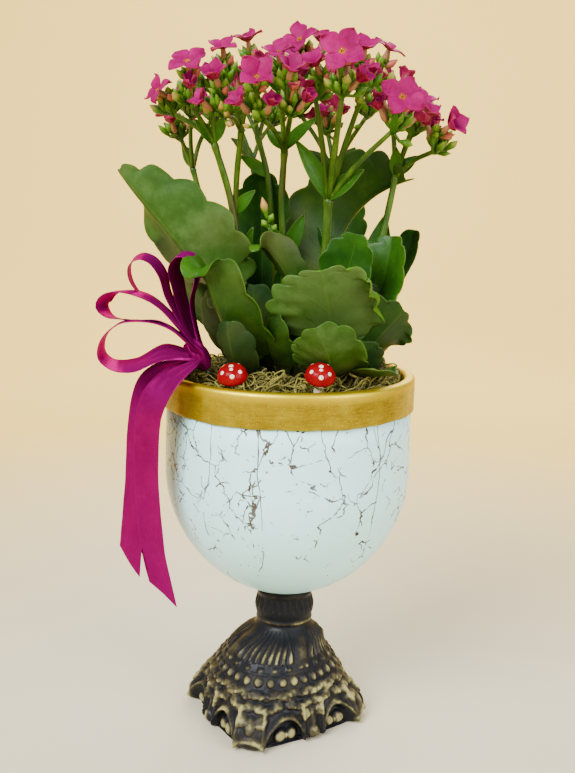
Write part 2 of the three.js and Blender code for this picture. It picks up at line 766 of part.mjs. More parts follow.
// A point of a leaf's middle surface. t runs from the foot of the blade to its tip along the margin,
// and v from the left margin, -1, to the right one, 1.
function leafPoint(leaf, t, v, grown) {
  const [base, middle, tip] = leaf.spine.map(vec);
  const bend = middle.clone().multiplyScalar(2).addScaledVector(base, -0.5).addScaledVector(tip, -0.5);
  const spine = new THREE.QuadraticBezierCurve3(base, bend, tip);
  const length = spine.getLength();
  const half = leaf.width / 2;
  // the outline: an oval whose widest place lies past its middle, with rounded lobes along it
  const angle = Math.PI * Math.max(t, 0);
  const reach = ((1 - Math.cos(angle)) / 2) ** (Math.log(leaf.widest) / Math.log(0.5));
  const oval = Math.sin(angle) ** 0.85 * (1 - (leaf.taper ?? 0) * Math.max(t, 0) ** 2);
  const lobe = (Math.abs(Math.sin(Math.PI * leaf.lobes * Math.max(t, 0))) - 0.6) * lobeDepth * leaf.width;
  const growing = ease(t, 0.04, 0.2);
  const across = Math.max(petiole.halfWidth, half * oval + lobe * growing * Math.sin(angle)) + grown;
  const bladeLength = length * (1 - petiole.share);
  const ahead = bladeLength * reach - lobe * growing * Math.cos(angle) * v * v + 2 * grown * t;
  const onBlade = petiole.share + (ahead / bladeLength) * (1 - petiole.share);
  const share = t < 0 ? petiole.share * (1 + t) : onBlade;
  const along = Math.min(share, 1);
  const width = t >= 1 ? 0 : across * v;
  // the cross-section: each half turned up from the spine by its fold, then bent on by the cup
  const tangent = spine.getTangentAt(along);
  const side = vec(leaf.faces).cross(tangent).normalize();
  const up = tangent.clone().cross(side);
  const opened = ease(t, 0, 0.25);
  const fold = radians(leaf.folds[v < 0 ? 0 : 1]) * opened;
  const bendRate = (leaf.cup * opened) / half;
  const distance = Math.abs(width);
  const outward = (Math.sin(fold + bendRate * distance) - Math.sin(fold)) / Math.max(bendRate, 1e-6);
  const raised = (Math.cos(fold) - Math.cos(fold + bendRate * distance)) / Math.max(bendRate, 1e-6);
  const wave = 0.05 * leaf.width * Math.sin(9 * t + 2 * leaf.lobes) * v * v * v * opened * Math.sin(angle);
  const point = spine.getPointAt(along).addScaledVector(tangent, (share - along) * length);
  return point
    .addScaledVector(side, Math.sign(v) * (bendRate > 1e-6 ? outward : distance))
    .addScaledVector(up, (bendRate > 1e-6 ? raised : 0) + wave);
}

function makeLeaf(leaf, grown = 0) {
  const marginSteps = 2 * leaf.lobes;
  const heights = [-1, -0.5, ...Array.from({ length: marginSteps + 1 }, (_, step) => step / marginSteps)];
  const places = leaf.width > 54 ? [-1, -0.5, 0, 0.5, 1] : [-1, 0, 1];
  const rows = heights.map((t) => places.map((v) => leafPoint(leaf, t, v, grown)));
  return blade(rows, leafThickness + 2 * grown);
}

// The satin ribbon: four loops and two tails from one gather. Each is a list of places along the
// middle of the band, and the band's width lies along its own direction.
const gather = [-45, -31, 214];
const bands = [
  {
    route: [
      gather, [-55, -30, 229], [-64, -31, 247], [-67, -32, 258], [-72, -33, 265], [-78, -34, 267],
      [-83, -34, 264], [-84, -33, 257], [-80, -32, 249], [-68, -30, 239], gather,
    ],
    across: [-0.05, 1, -0.05],
    loop: true,
  },
  {
    route: [
      gather, [-60, -37, 235], [-71, -39, 245], [-82, -40, 249], [-92, -40, 248], [-97, -40, 242],
      [-93, -39, 236], [-82, -38, 234], [-66, -37, 233], gather,
    ],
    across: [0.12, 1, -0.2],
    loop: true,
  },
  {
    route: [
      gather, [-61, -40, 230], [-74, -42, 234], [-87, -43, 233], [-96, -43, 225], [-97, -43, 216],
      [-91, -43, 211], [-80, -42, 211], [-64, -40, 218], gather,
    ],
    across: [-0.02, 1, 0.38],
    loop: true,
  },
  {
    route: [
      gather, [-55, -22, 233], [-60, -21, 250], [-62, -21, 262], [-57, -22, 269], [-51, -24, 267],
      [-49, -25, 257], [-52, -25, 244], [-50, -26, 230], gather,
    ],
    across: [0.3, 0.95, 0],
    loop: true,
  },
  {
    route: [
      gather, [-51, -40, 212], [-58, -49, 208], [-65, -52, 200], [-71, -50, 188], [-73, -48, 169],
      [-73, -47, 149], [-72, -46, 131], [-70, -45, 110], [-65, -43, 85],
    ],
    across: [0.72, -0.7, 0.05],
    loop: false,
  },
  {
    route: [
      gather, [-56, -32, 211], [-66, -34, 207], [-74, -34, 200], [-78, -34, 188], [-80, -34, 169],
      [-81, -34, 147], [-83, -34, 122], [-85, -34, 100],
    ],
    across: [0.75, -0.65, 0.05],
    loop: false,
  },
];
const pinch = 4; // width of the band where it is gathered
const slantedEnd = 6; // how far one corner of a tail's end reaches past its middle

function makeBand(band) {
  const steps = band.loop ? 10 : 8;
  const curve = new THREE.CatmullRomCurve3(band.route.map(vec), false, "centripetal");
  const across = vec(band.across).normalize();
  const rings = Array.from({ length: steps + 1 }, (_, step) => {
    const share = step / steps;
    const centre = curve.getPointAt(share);
    const tangent = curve.getTangentAt(share);
    const side = across.clone().addScaledVector(tangent, -across.dot(tangent)).normalize();
    const normal = tangent.clone().cross(side);
    const opened = band.loop ? Math.sin(Math.PI * share) ** 0.6 : ease(share, 0, 0.15);
    const half = mix(pinch, ribbon.width, opened) / 2;
    const slant = !band.loop && step === steps ? slantedEnd : 0;
    return [[-1, -1], [1, -1], [1, 1], [-1, 1]].map(([u, w]) =>
      centre
        .clone()
        .addScaledVector(side, u * half)
        .addScaledVector(tangent, u * slant)
        .addScaledVector(normal, (w * ribbon.thickness) / 2),
    );
  });
  return loft(rings);
}

function makeBow() {
  const knot = bar([vec([-52, -32, 221]), vec([-43, -31, 208])], [4.5, 6], 7, 1);
  return fuse([knot, ...bands.map(makeBand)]);
}

// The bow's wire: two turns round the gather and one leg into the soil
const bowWire = { radius: 0.8, legTop: [-43, -31, 208], legFoot: [-40, -26, 150] };
const toadstools = [
  { name: "left", cap: [-28, -52, 208.5], lean: [-0.1, -0.35, 1] },
  { name: "right", cap: [17, -57, 210.5], lean: [0.08, -0.4, 1] },
];
const toadstool = {
  // radius and height of the cap's profile
  cap: [[0, -1.2], [3.5, -1.6], [6.8, -2.6], [7.9, -1], [7.4, 1.8], [5.6, 4.3], [3, 5.6], [0, 6]],
  segments: 10,
  room: [8.6, 7], // radius and height of the space that the moss leaves for a cap
  stalkRadii: [2.8, 2.2],
  stalkLength: 12,
  wireRadius: 0.6,
  wireLength: 46,
};

function makeCap({ cap, lean }) {
  const profile = toadstool.cap.map(([radius, height]) => new THREE.Vector2(radius, height));
  const dome = new THREE.LatheGeometry(profile, toadstool.segments).rotateX(Math.PI / 2);
  const turn = new THREE.Quaternion().setFromUnitVectors(new THREE.Vector3(0, 0, 1), vec(lean).normalize());
  return solidOf(dome.applyQuaternion(turn).translate(...cap));
}

function pickLine({ cap, lean }) {
  const axis = vec(lean).normalize();
  const top = vec(cap).addScaledVector(axis, toadstool.cap[0][1] - clearance);
  const bottom = top.clone().addScaledVector(axis, -toadstool.stalkLength);
  const tip = bottom.clone().sub(new THREE.Vector3(0, 0, toadstool.wireLength));
  return { top, bottom, tip };
}

function makePick(each, grown = 0) {
  const { top, bottom, tip } = pickLine(each);
  const radii = toadstool.stalkRadii.map((radius) => radius + grown);
  const stalk = bar([bottom, top], radii, 8, 1);
  const wireRadius = toadstool.wireRadius + grown;
  const wire = bar([tip, bottom.clone().lerp(top, 0.3)], [wireRadius, wireRadius], 6, 1);
  return fuse([stalk, wire]);
}

// The moss: an uneven mat with curled strands that stand out of it
function mossHeight(x, y) {
  const radius = Math.hypot(x, y) / moss.radius;
  const humps = Math.sin(x * 0.31 + 1.3) * Math.cos(y * 0.27) + Math.sin(x * 0.17 - y * 0.23 + 0.6);
  return mix(moss.crown, moss.edge, radius ** 2) + 1.3 * humps;
}

function makeMossMat() {
  const circle = (radius, height) =>
    Array.from({ length: moss.columns }, (_, i) => {
      const angle = (2 * Math.PI * i) / moss.columns;
      const [x, y] = [radius * Math.cos(angle), radius * Math.sin(angle)];
      return new THREE.Vector3(x, y, height ?? mossHeight(x, y));
    });
  const bottom = soilTop + clearance;
  const upper = moss.rings.map((radius) => circle(radius));
  const rings = [circle(moss.bottom, bottom), circle(moss.radius, bottom), ...upper];
  return loft(rings, vec([0, 0, bottom]), vec([0, 0, mossHeight(0, 0)]));
}

function mossStrand(random) {
  const angle = 2 * Math.PI * random();
  const radius = 30 + 26 * random();
  const [x, y] = [radius * Math.cos(angle), radius * Math.sin(angle)];
  const heading = 2 * Math.PI * random();
  const size = 5 + 4 * random();
  const route = [0, 1, 2, 3, 4].map((step) => {
    const swing = heading + 0.75 * step;
    const [px, py] = [x + size * Math.cos(swing), y + size * Math.sin(swing)];
    return new THREE.Vector3(px, py, mossHeight(px, py) - 1 + 2.4 * Math.sin((Math.PI * step) / 4));
  });
  return bar(route, [0.9, 0.8], 3, 4);
}

// Assembly. Each piece is cut clear of the ones before it by the same shapes made larger all round.
const stalkNames = Object.keys(stalks);
blooms.forEach((bloom) => {
  const middle = vec(bloom.at).addScaledVector(vec(bloom.faces).normalize(), bloom.petal * 0.1);
  placed.push({ centre: middle, radius: bloom.petal * 0.92, owner: "bloom" });
});
const stalkSolids = {};
const stalkRoom = {};
for (const name of stalkNames) {
  stalkRoom[name] = makeStalk(name, clearance);
}
for (const name of stalkNames) {
  const others = stalkNames.slice(0, stalkNames.indexOf(name)).map((other) => stalkRoom[other]);
  stalkSolids[name] = largest(others.reduce((solid, room) => solid.subtract(room), makeStalk(name)));
  piece(`stalk_${name}`, stalkSolids[name], stemGreen);
}

const allStalkRoom = fuse(Object.values(stalkRoom));
let leafRoom = allStalkRoom;
for (const leaf of leaves) {
  piece(`leaf_${leaf.name}`, largest(makeLeaf(leaf).subtract(leafRoom)), leafGreen);
  leafRoom = leafRoom.add(makeLeaf(leaf, roomGrowth));
}

let bloomRoom = allStalkRoom;
blooms.forEach((bloom, number) => {
  const turn = 0.5 + number * 0.37;
  const solid = largest(makeBloom(bloom, turn).subtract(bloomRoom));
  piece(`bloom_${String(number + 1).padStart(2, "0")}`, solid, petalPink);
  bloomRoom = bloomRoom.add(makeBloom(bloom, turn, clearance));
});

const picks = toadstools.map((each) => makePick(each, clearance));
toadstools.forEach((each) => {
  piece(`toadstool_${each.name}_cap`, makeCap(each), capRed);
  piece(`toadstool_${each.name}_pick`, makePick(each), stalkCream);
});

function makeBowLeg(grown = 0) {
  const [foot, top] = [vec(bowWire.legFoot), vec(bowWire.legTop)];
  const past = top.clone().sub(foot).setLength(grown);
  const radius = bowWire.radius + grown;
  return bar([foot.sub(past), top.add(past)], [radius, radius], 6, 1);
}

const bowLegRoom = makeBowLeg(clearance);
const bow = makeBow();
piece("ribbon_bow", largest(bow.subtract(leafRoom).subtract(bowLegRoom)), satinMagenta);
piece("bow_wire", makeBowLeg(), wireGreen);

const soilRadius = hollow.radius - 2 * clearance;
const soilProfile = cupCurve(soilRadius, bowl.middle, hollow.depth - 2 * clearance, 4);
soilProfile.push(new THREE.Vector2(soilRadius, soilTop), new THREE.Vector2(0, soilTop));
const holes = fuse([allStalkRoom, bowLegRoom, ...picks]);
piece("potting_soil", turned(soilProfile, 20).subtract(holes), soilBrown);

const random = seeded(41);
const strands = Array.from({ length: moss.strands }, () => mossStrand(random));
const capRoom = toadstools.map((each) => {
  const [radius, height] = toadstool.room;
  const above = vec(each.cap).addScaledVector(vec(each.lean).normalize(), height);
  return bar([pickLine(each).top, above], [radius, radius], toadstool.segments, 1);
});
const mat = strands.reduce((solid, strand) => solid.add(strand), makeMossMat());
piece("moss_bed", largest(mat.subtract(fuse([leafRoom, holes, ...capRoom]))), mossTan);

piece("goblet_bowl", makeBowl(), whiteGlaze);
piece("pedestal_foot", makeFoot(), castBrown);

export default object;
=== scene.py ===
# A kalanchoe in flower in a goblet pot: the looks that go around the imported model.
# Lengths in the formulas are millimetres, and a mesh is scaled to metres when it is made.
# The front is -Y, the foot's flat underside is at z = 0, and left is the viewer's left.

import math

import bpy
import numpy as np
from mathutils import Matrix


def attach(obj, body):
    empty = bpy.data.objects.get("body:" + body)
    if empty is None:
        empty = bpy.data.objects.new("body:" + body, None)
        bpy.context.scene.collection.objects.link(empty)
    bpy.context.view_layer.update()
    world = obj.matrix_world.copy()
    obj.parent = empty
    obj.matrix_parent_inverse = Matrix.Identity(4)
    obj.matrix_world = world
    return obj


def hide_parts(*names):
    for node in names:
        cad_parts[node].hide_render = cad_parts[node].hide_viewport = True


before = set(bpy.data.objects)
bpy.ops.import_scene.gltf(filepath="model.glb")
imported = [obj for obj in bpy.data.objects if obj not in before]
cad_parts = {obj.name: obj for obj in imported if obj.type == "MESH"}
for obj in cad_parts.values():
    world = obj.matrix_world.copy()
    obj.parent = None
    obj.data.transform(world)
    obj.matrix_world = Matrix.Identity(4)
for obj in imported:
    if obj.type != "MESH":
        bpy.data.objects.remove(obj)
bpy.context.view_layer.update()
print("frame loaded:", len(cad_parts), "nodes")

mm = 0.001
upward = np.array([0.0, 0.0, 1.0])


# Small helpers

def unit(vectors):
    vectors = np.asarray(vectors, float)
    return vectors / np.maximum(np.linalg.norm(vectors, axis=-1, keepdims=True), 1e-9)


def mix(low, high, share):
    return low + (high - low) * share


def ease(value, low, high):
    # 0 up to low, 1 from high on, and a smooth S between them
    share = np.clip((value - low) / (high - low), 0, 1)
    return share * share * (3 - 2 * share)


def between(value, opens, opened, closes, closed):
    # 0, then 1 from opened to closes, then 0 again
    return ease(value, opens, opened) * (1 - ease(value, closes, closed))


def ridge(value, centre, width):
    # a bell curve round centre
    return np.exp(-((value - centre) / width) ** 2)


def shares(count):
    return np.linspace(0, 1, count)


def acrossPlaces(columns):
    # from 1 at the right edge of a sheet to -1 at the left one, closer together near the edges
    return np.cos(np.pi * shares(columns))[None]


def edgeRound(columns, power):
    # the sheet's thickness at those places, as shares of the full one: nothing at the edges
    return np.sin(np.pi * shares(columns))[None] ** power


def seeded(state):
    # the same small random rule as the model's solids use, so that the buds fall on the same places
    while True:
        state = (state * 1664525 + 1013904223) % 4294967296
        yield state / 4294967296


def evenly(curve, count):
    # points spaced evenly along a dense polyline, and the directions there
    run = np.concatenate([[0], np.cumsum(np.linalg.norm(np.diff(curve, axis=0), axis=1))])
    wanted = np.linspace(0, run[-1], count)
    points = np.stack([np.interp(wanted, run, curve[:, axis]) for axis in range(3)], 1)
    return points, unit(np.gradient(points, axis=0))


def curveThrough(points, count, fine=24):
    # a smooth curve through the points: each stretch is a cubic whose end slopes come from its neighbours
    # at distances to the power one half (the centripetal rule)
    points = np.asarray(points, float)
    if len(points) == 2:
        return evenly(points, count)
    whole = np.vstack([2 * points[0] - points[1], points, 2 * points[-1] - points[-2]])
    gaps = np.maximum(np.linalg.norm(np.diff(whole, axis=0), axis=1) ** 0.5, 1e-4)[:, None]
    before, first, second, after = whole[:-3], whole[1:-2], whole[2:-1], whole[3:]
    gapIn, gap, gapOut = gaps[:-2], gaps[1:-1], gaps[2:]
    slopeIn = ((first - before) / gapIn - (second - before) / (gapIn + gap) + (second - first) / gap) * gap
    slopeOut = ((second - first) / gap - (after - first) / (gap + gapOut) + (after - second) / gapOut) * gap
    share = np.linspace(0, 1, fine, endpoint=False)[:, None, None]
    square = (-3 * first + 3 * second - 2 * slopeIn - slopeOut) * share ** 2
    cube = (2 * first - 2 * second + slopeIn + slopeOut) * share ** 3
    curve = first + slopeIn * share + square + cube
    dense = np.vstack([curve.transpose(1, 0, 2).reshape(-1, 3), points[-1:]])
    return evenly(dense, count)


def framesAlong(tangents):
    # a side and an up direction at each place, turned as little as possible from one place to the next
    guess = upward if abs(tangents[0][2]) < 0.8 else np.array([1.0, 0, 0])
    sides = np.empty_like(tangents)
    for step, tangent in enumerate(tangents):
        guess = guess - tangent * guess.dot(tangent)
        guess = guess / max(np.linalg.norm(guess), 1e-9)
        sides[step] = guess
    return sides, np.cross(tangents, sides)


# Meshes. A patch is a grid of points whose rows are closed rings that run anticlockwise round the way the
# rows go. It has its material's number, and marks: named values at its points that materials read.

def patch(points, material=0, ends=(True, True), looped=False, **marks):
    return {"points": points, "material": material, "ends": ends, "looped": looped, "marks": marks}


def meshOf(name, patches):
    markNames = sorted({key for each in patches for key in each["marks"]})
    places, loops, sizes, materials = [], [], [], []
    marks = {key: [] for key in markNames}
    start = 0
    for each in patches:
        grid = each["points"]
        rows, sides = grid.shape[:2]
        index = start + np.arange(rows * sides).reshape(rows, sides)
        after = np.roll(index, -1, axis=1)
        low, high = (index, np.roll(index, -1, axis=0)) if each["looped"] else (index[:-1], index[1:])
        lowAfter, highAfter = np.roll(low, -1, axis=1), np.roll(high, -1, axis=1)
        quads = np.stack([low, lowAfter, highAfter, high], -1).reshape(-1, 4)
        added = [grid.reshape(-1, 3)]
        given = each["marks"]
        values = {key: [np.broadcast_to(given.get(key, 0.0), (rows, sides)).ravel()] for key in markNames}
        corners = [quads.ravel()]
        count = [np.full(len(quads), 4)]
        centre = start + rows * sides
        for closed, row, turned in ((each["ends"][0], 0, True), (each["ends"][1], rows - 1, False)):
            if not closed or each["looped"]:
                continue
            added.append(grid[row].mean(0)[None])
            for key in markNames:
                values[key].append([values[key][0].reshape(rows, sides)[row].mean()])
            ring = (after[row], index[row]) if turned else (index[row], after[row])
            fan = np.stack([np.full(sides, centre), *ring], -1)
            corners.append(fan.ravel())
            count.append(np.full(sides, 3))
            centre += 1
        places.append(np.vstack(added))
        loops.append(np.concatenate(corners))
        sizes.append(np.concatenate(count))
        materials.append(np.full(len(sizes[-1]), each["material"]))
        for key in markNames:
            marks[key].append(np.concatenate(values[key]))
        start = centre
    places = np.vstack(places) * mm
    loops = np.concatenate(loops)
    sizes = np.concatenate(sizes)
    mesh = bpy.data.meshes.new(name)
    mesh.vertices.add(len(places))
    mesh.vertices.foreach_set("co", places.astype(np.float32).ravel())
    mesh.loops.add(len(loops))
    mesh.loops.foreach_set("vertex_index", loops.astype(np.int32))
    mesh.polygons.add(len(sizes))
    mesh.polygons.foreach_set("loop_start", np.concatenate([[0], np.cumsum(sizes)[:-1]]).astype(np.int32))
    mesh.polygons.foreach_set("material_index", np.concatenate(materials).astype(np.int32))
    mesh.polygons.foreach_set("use_smooth", np.ones(len(sizes), bool))
    for key in markNames:
        layer = mesh.attributes.new(key, "FLOAT", "POINT")
        layer.data.foreach_set("value", np.concatenate(marks[key]).astype(np.float32))
    mesh.update(calc_edges=True)
    return mesh


def addPiece(name, patches, materials, nodes):
    mesh = meshOf(name, patches)
    for material in materials:
        mesh.materials.append(material)
    piece = bpy.data.objects.new(name, mesh)
    bpy.context.scene.collection.objects.link(piece)
    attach(piece, "root")
    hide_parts(*nodes)
    return piece


def turnedRings(profile, columns):
    # a profile of (radius, height) turned round the Z axis
    angles = 2 * np.pi * np.arange(columns) / columns
    radius, height = np.asarray(profile, float).T[:, :, None]
    return np.stack([radius * np.cos(angles), radius * np.sin(angles), height + 0 * angles], -1)


def around(points, across, up, radii, sides):
    # rings of that many sides round the points, in the planes of across and up
    angles = 2 * np.pi * np.arange(sides) / sides
    ring = np.cos(angles)[None, :, None] * across[:, None] + np.sin(angles)[None, :, None] * up[:, None]
    return points[:, None] + ring * np.asarray(radii, float)[:, None, None]


def tube(points, tangents, radii, sides):
    # a round bar along a path. radii holds one radius for each place
    return around(points, *framesAlong(tangents), radii, sides)


# Node trees

def put(tree, kind, inputs=None, **settings):
    made = tree.nodes.new(kind)
    for key, value in settings.items():
        setattr(made, key, value)
    for key, value in (inputs or {}).items():
        if isinstance(value, bpy.types.NodeSocket):
            tree.links.new(value, made.inputs[key])
        else:
            made.inputs[key].default_value = value
    return made


def calc(tree, operation, first, second=0.0, clamp=False):
    return put(tree, "ShaderNodeMath", {0: first, 1: second}, operation=operation, use_clamp=clamp).outputs[0]


def plus(tree, first, second):
    return calc(tree, "ADD", first, second)


def times(tree, first, second):
    return calc(tree, "MULTIPLY", first, second)


def weighed(tree, first, firstShare, second, secondShare):
    return plus(tree, times(tree, first, firstShare), times(tree, second, secondShare))


def blendColors(tree, share, first, second):
    # a color is a socket or its red, green and blue
    first, second = [(*color, 1) if isinstance(color, tuple) else color for color in (first, second)]
    return put(tree, "ShaderNodeMix", {0: share, 6: first, 7: second}, data_type="RGBA").outputs[2]


def tint(tree, color, mask, share, other):
    # color, with that share of other over it where the mask is 1
    return blendColors(tree, times(tree, mask, share), color, other)


def ramp(tree, value, stops):
    made = put(tree, "ShaderNodeValToRGB", {"Fac": value})
    elements = made.color_ramp.elements
    while len(elements) < len(stops):
        elements.new(0.5)
    for element, (position, color) in zip(elements, stops):
        element.position = position
        element.color = (*color, 1)
    return made.outputs["Color"]


def span(tree, value, low, high, lowOut=0.0, highOut=1.0):
    inputs = {"Value": value, "From Min": low, "From Max": high, "To Min": lowOut, "To Max": highOut}
    return put(tree, "ShaderNodeMapRange", inputs, clamp=True).outputs[0]


def noise(tree, vector, scale, detail=3.0, roughness=0.55, distortion=0.0):
    inputs = {"Vector": vector, "Scale": scale, "Detail": detail, "Roughness": roughness}
    return put(tree, "ShaderNodeTexNoise", {**inputs, "Distortion": distortion}).outputs["Fac"]


def objectPlace(tree, scale=None):
    place = put(tree, "ShaderNodeTexCoord").outputs["Object"]
    if scale is None:
        return place
    return put(tree, "ShaderNodeMapping", {"Vector": place, "Scale": scale}).outputs["Vector"]


def heightOf(tree):
    return put(tree, "ShaderNodeSeparateXYZ", {0: objectPlace(tree)}).outputs["Z"]


def mark(tree, name):
    return put(tree, "ShaderNodeAttribute", attribute_name=name).outputs["Fac"]


def bump(tree, height, strength, distance):
    inputs = {"Height": height, "Strength": strength, "Distance": distance}
    return put(tree, "ShaderNodeBump", inputs).outputs["Normal"]


def newMaterial(name, **surface):
    # a material with its Principled shader, and the shader's own values set on its sockets
    material = bpy.data.materials.new(name)
    material.use_nodes = True
    tree = material.node_tree
    shader = tree.nodes["Principled BSDF"]
    for key, value in surface.items():
        shader.inputs[key].default_value = value
    return material, tree, shader


def connect(tree, shader, color, normal=None, roughness=None):
    for key, value in (("Base Color", color), ("Normal", normal), ("Roughness", roughness)):
        if value is not None:
            tree.links.new(value, shader.inputs[key])


def newGroup(name, inputs, outputs):
    # a node group. inputs are names and values, with None for a place, and outputs are the names of values
    group = bpy.data.node_groups.new(name, "ShaderNodeTree")
    for label, value in inputs.items():
        kind = "NodeSocketVector" if value is None else "NodeSocketFloat"
        socket = group.interface.new_socket(label, in_out="INPUT", socket_type=kind)
        if value is not None:
            socket.default_value = value
    for label in outputs:
        group.interface.new_socket(label, in_out="OUTPUT", socket_type="NodeSocketFloat")
    return group, group.nodes.new("NodeGroupInput").outputs, group.nodes.new("NodeGroupOutput").inputs


def useGroup(tree, group, inputs):
    return put(tree, "ShaderNodeGroup", inputs, node_tree=group).outputs


def makeMottle():
    # soft blotches with finer ones on them, from 0 to 1
    group, given, result = newGroup("mottle", {"Vector": None, "Scale": 60.0, "Contrast": 1.0}, ["Value"])
    broad = noise(group, given["Vector"], given["Scale"], 2.0)
    fine = noise(group, given["Vector"], times(group, given["Scale"], 5.5), 4.0, 0.6)
    both = weighed(group, broad, 0.65, fine, 0.35)
    spread = times(group, calc(group, "SUBTRACT", both, 0.5), given["Contrast"])
    group.links.new(calc(group, "ADD", times(group, spread, 2.2), 0.5, clamp=True), result["Value"])
    return group


def mottled(tree, scale, contrast, stretch=None):
    inputs = {"Vector": objectPlace(tree, stretch), "Scale": scale, "Contrast": contrast}
    return useGroup(tree, mottle, inputs)["Value"]


def plainMaterial(name, scale, contrast, stops, relief, **surface):
    # colors that follow one mottled value, and a relief of (strength, distance) or None
    material, tree, shader = newMaterial(name, **surface)
    value = mottled(tree, scale, contrast)
    connect(tree, shader, ramp(tree, value, stops), bump(tree, value, *relief) if relief else None)
    return material


def makeVeins():
    # a midrib and side veins that leave it forwards, from the marks along and across: 1 on a vein
    group, given, result = newGroup("veins", {"Spacing": 6.0, "Slant": 1.6}, ["Vein", "Rib"])
    along, across = mark(group, "along"), calc(group, "ABSOLUTE", mark(group, "across"))
    wobble = times(group, noise(group, objectPlace(group), 55.0, 2.0), 0.7)
    bowed = times(group, calc(group, "POWER", across, 0.8), given["Slant"])
    phase = calc(group, "SUBTRACT", times(group, along, given["Spacing"]), bowed)
    sawtooth = calc(group, "FRACT", plus(group, phase, wobble))
    fromVein = calc(group, "ABSOLUTE", calc(group, "SUBTRACT", sawtooth, 0.5))
    fading = times(group, span(group, fromVein, 0.035, 0.0), span(group, across, 0.9, 0.3))
    group.links.new(times(group, fading, span(group, across, 0.0, 0.06)), result["Vein"])
    ribWidth = span(group, along, 0.0, 1.0, 0.075, 0.015)  # it narrows towards the leaf's tip
    group.links.new(span(group, across, ribWidth, 0.0), result["Rib"])
    return group


mottle = makeMottle()
veins = makeVeins()


# The pot: a glazed bowl with fine brown crackle, and a painted gold band round its lip

bowlShape = {
    "radius": 69.2,
    "middle": 147.0,  # height of the widest ring
    "depth": 72.7,
    "roundness": 2 / 1.9,
    "neck": (68.7, 184.4),
    "hollow": (63.2, 66.0),  # radius and depth
    "columns": 200,
    "rows": 56,
}
bandShape = {
    "bottom": 184.0,
    "top": 203.0,
    "outside": 70.2,
    "inside": 64.0,
    "rounding": 2.6,
    "unevenness": 0.35,  # of its painted lower edge
}


def cupProfile(radius, middle, depth, rows):
    # a quarter of an oval from the pole at the bottom up to the widest ring
    angle = np.linspace(np.pi / 2, 0, rows)
    power = bowlShape["roundness"]
    across = radius * np.cos(angle).clip(0) ** power
    across[0] = 0.4
    return np.stack([across, middle - depth * np.sin(angle) ** power], 1)


glazeThreads = [
    # cells a metre, how long upright, wander in metres, half width in millimetres, and how much of them
    # shows on the bowl's lower and upper part
    (15.0, 0.35, 0.012, 0.23, 0.5, 0.8),
    (26.0, 0.7, 0.010, 0.25, 0.15, 0.62),
    (48.0, 1.0, 0.0045, 0.24, 0.0, 0.5),
    (90.0, 1.0, 0.003, 0.25, -0.1, 0.26),
]


def vectorMath(tree, operation, first, second):
    key = "Scale" if operation == "SCALE" else 1
    return put(tree, "ShaderNodeVectorMath", {0: first, key: second}, operation=operation).outputs[0]


def crackLines(tree, place, upperPart, number):
    # 1 on the edges of irregular cells, where a noise lets them show
    cells, upright, wander, width, lowShare, highShare = glazeThreads[number]
    mapping = {"Vector": place, "Scale": (1, 1, upright), "Location": (0, 0, number)}
    long = put(tree, "ShaderNodeMapping", mapping).outputs[0]
    wave = put(tree, "ShaderNodeTexNoise", {"Vector": long, "Scale": 26.0 + 22 * number, "Detail": 5.0})
    shift = vectorMath(tree, "SUBTRACT", wave.outputs["Color"], (0.5, 0.5, 0.5))
    warped = vectorMath(tree, "ADD", long, vectorMath(tree, "SCALE", shift, wander * 3))
    cell = put(tree, "ShaderNodeTexVoronoi", {"Vector": warped, "Scale": cells}, feature="DISTANCE_TO_EDGE")
    half = width * mm * cells
    line = span(tree, cell.outputs["Distance"], half * 1.4, half * 0.8)
    share = span(tree, upperPart, 0.0, 1.0, 0.62 - 0.3 * lowShare, 0.62 - 0.3 * highShare)
    patchy = calc(tree, "SUBTRACT", noise(tree, place, 30.0 + 17 * number, 4.0, 0.65, 0.6), share)
    return times(tree, line, span(tree, patchy, 0.0, 0.05))


def makeGlaze():
    surface = {"Specular IOR Level": 0.14, "Coat Weight": 0.04, "Coat Roughness": 0.06}
    material, tree, shader = newMaterial("whiteGlaze", **surface)
    place = objectPlace(tree)
    upperPart = span(tree, heightOf(tree), 0.09, 0.15)
    cracks = crackLines(tree, place, upperPart, 0)
    for number in range(1, len(glazeThreads)):
        cracks = calc(tree, "MAXIMUM", cracks, crackLines(tree, place, upperPart, number))
    blotch = mottled(tree, 30.0, 1.0)
    white = blendColors(tree, blotch, (0.52, 0.91, 0.97), (0.58, 0.96, 1.0))
    spots = times(tree, span(tree, noise(tree, place, 330.0, 1.0), 0.76, 0.785), upperPart)
    stained = tint(tree, white, spots, 0.8, (0.16, 0.10, 0.06))
    faint = span(tree, noise(tree, place, 55.0, 2.0), 0.38, 0.6, 0.92, 1.0)
    color = tint(tree, stained, calc(tree, "POWER", cracks, 0.5), faint, (0.055, 0.022, 0.007))
    relief = bump(tree, calc(tree, "SUBTRACT", blotch, cracks), 0.12, 0.0004)
    connect(tree, shader, color, relief, span(tree, blotch, 0.0, 1.0, 0.2, 0.3))
    return material


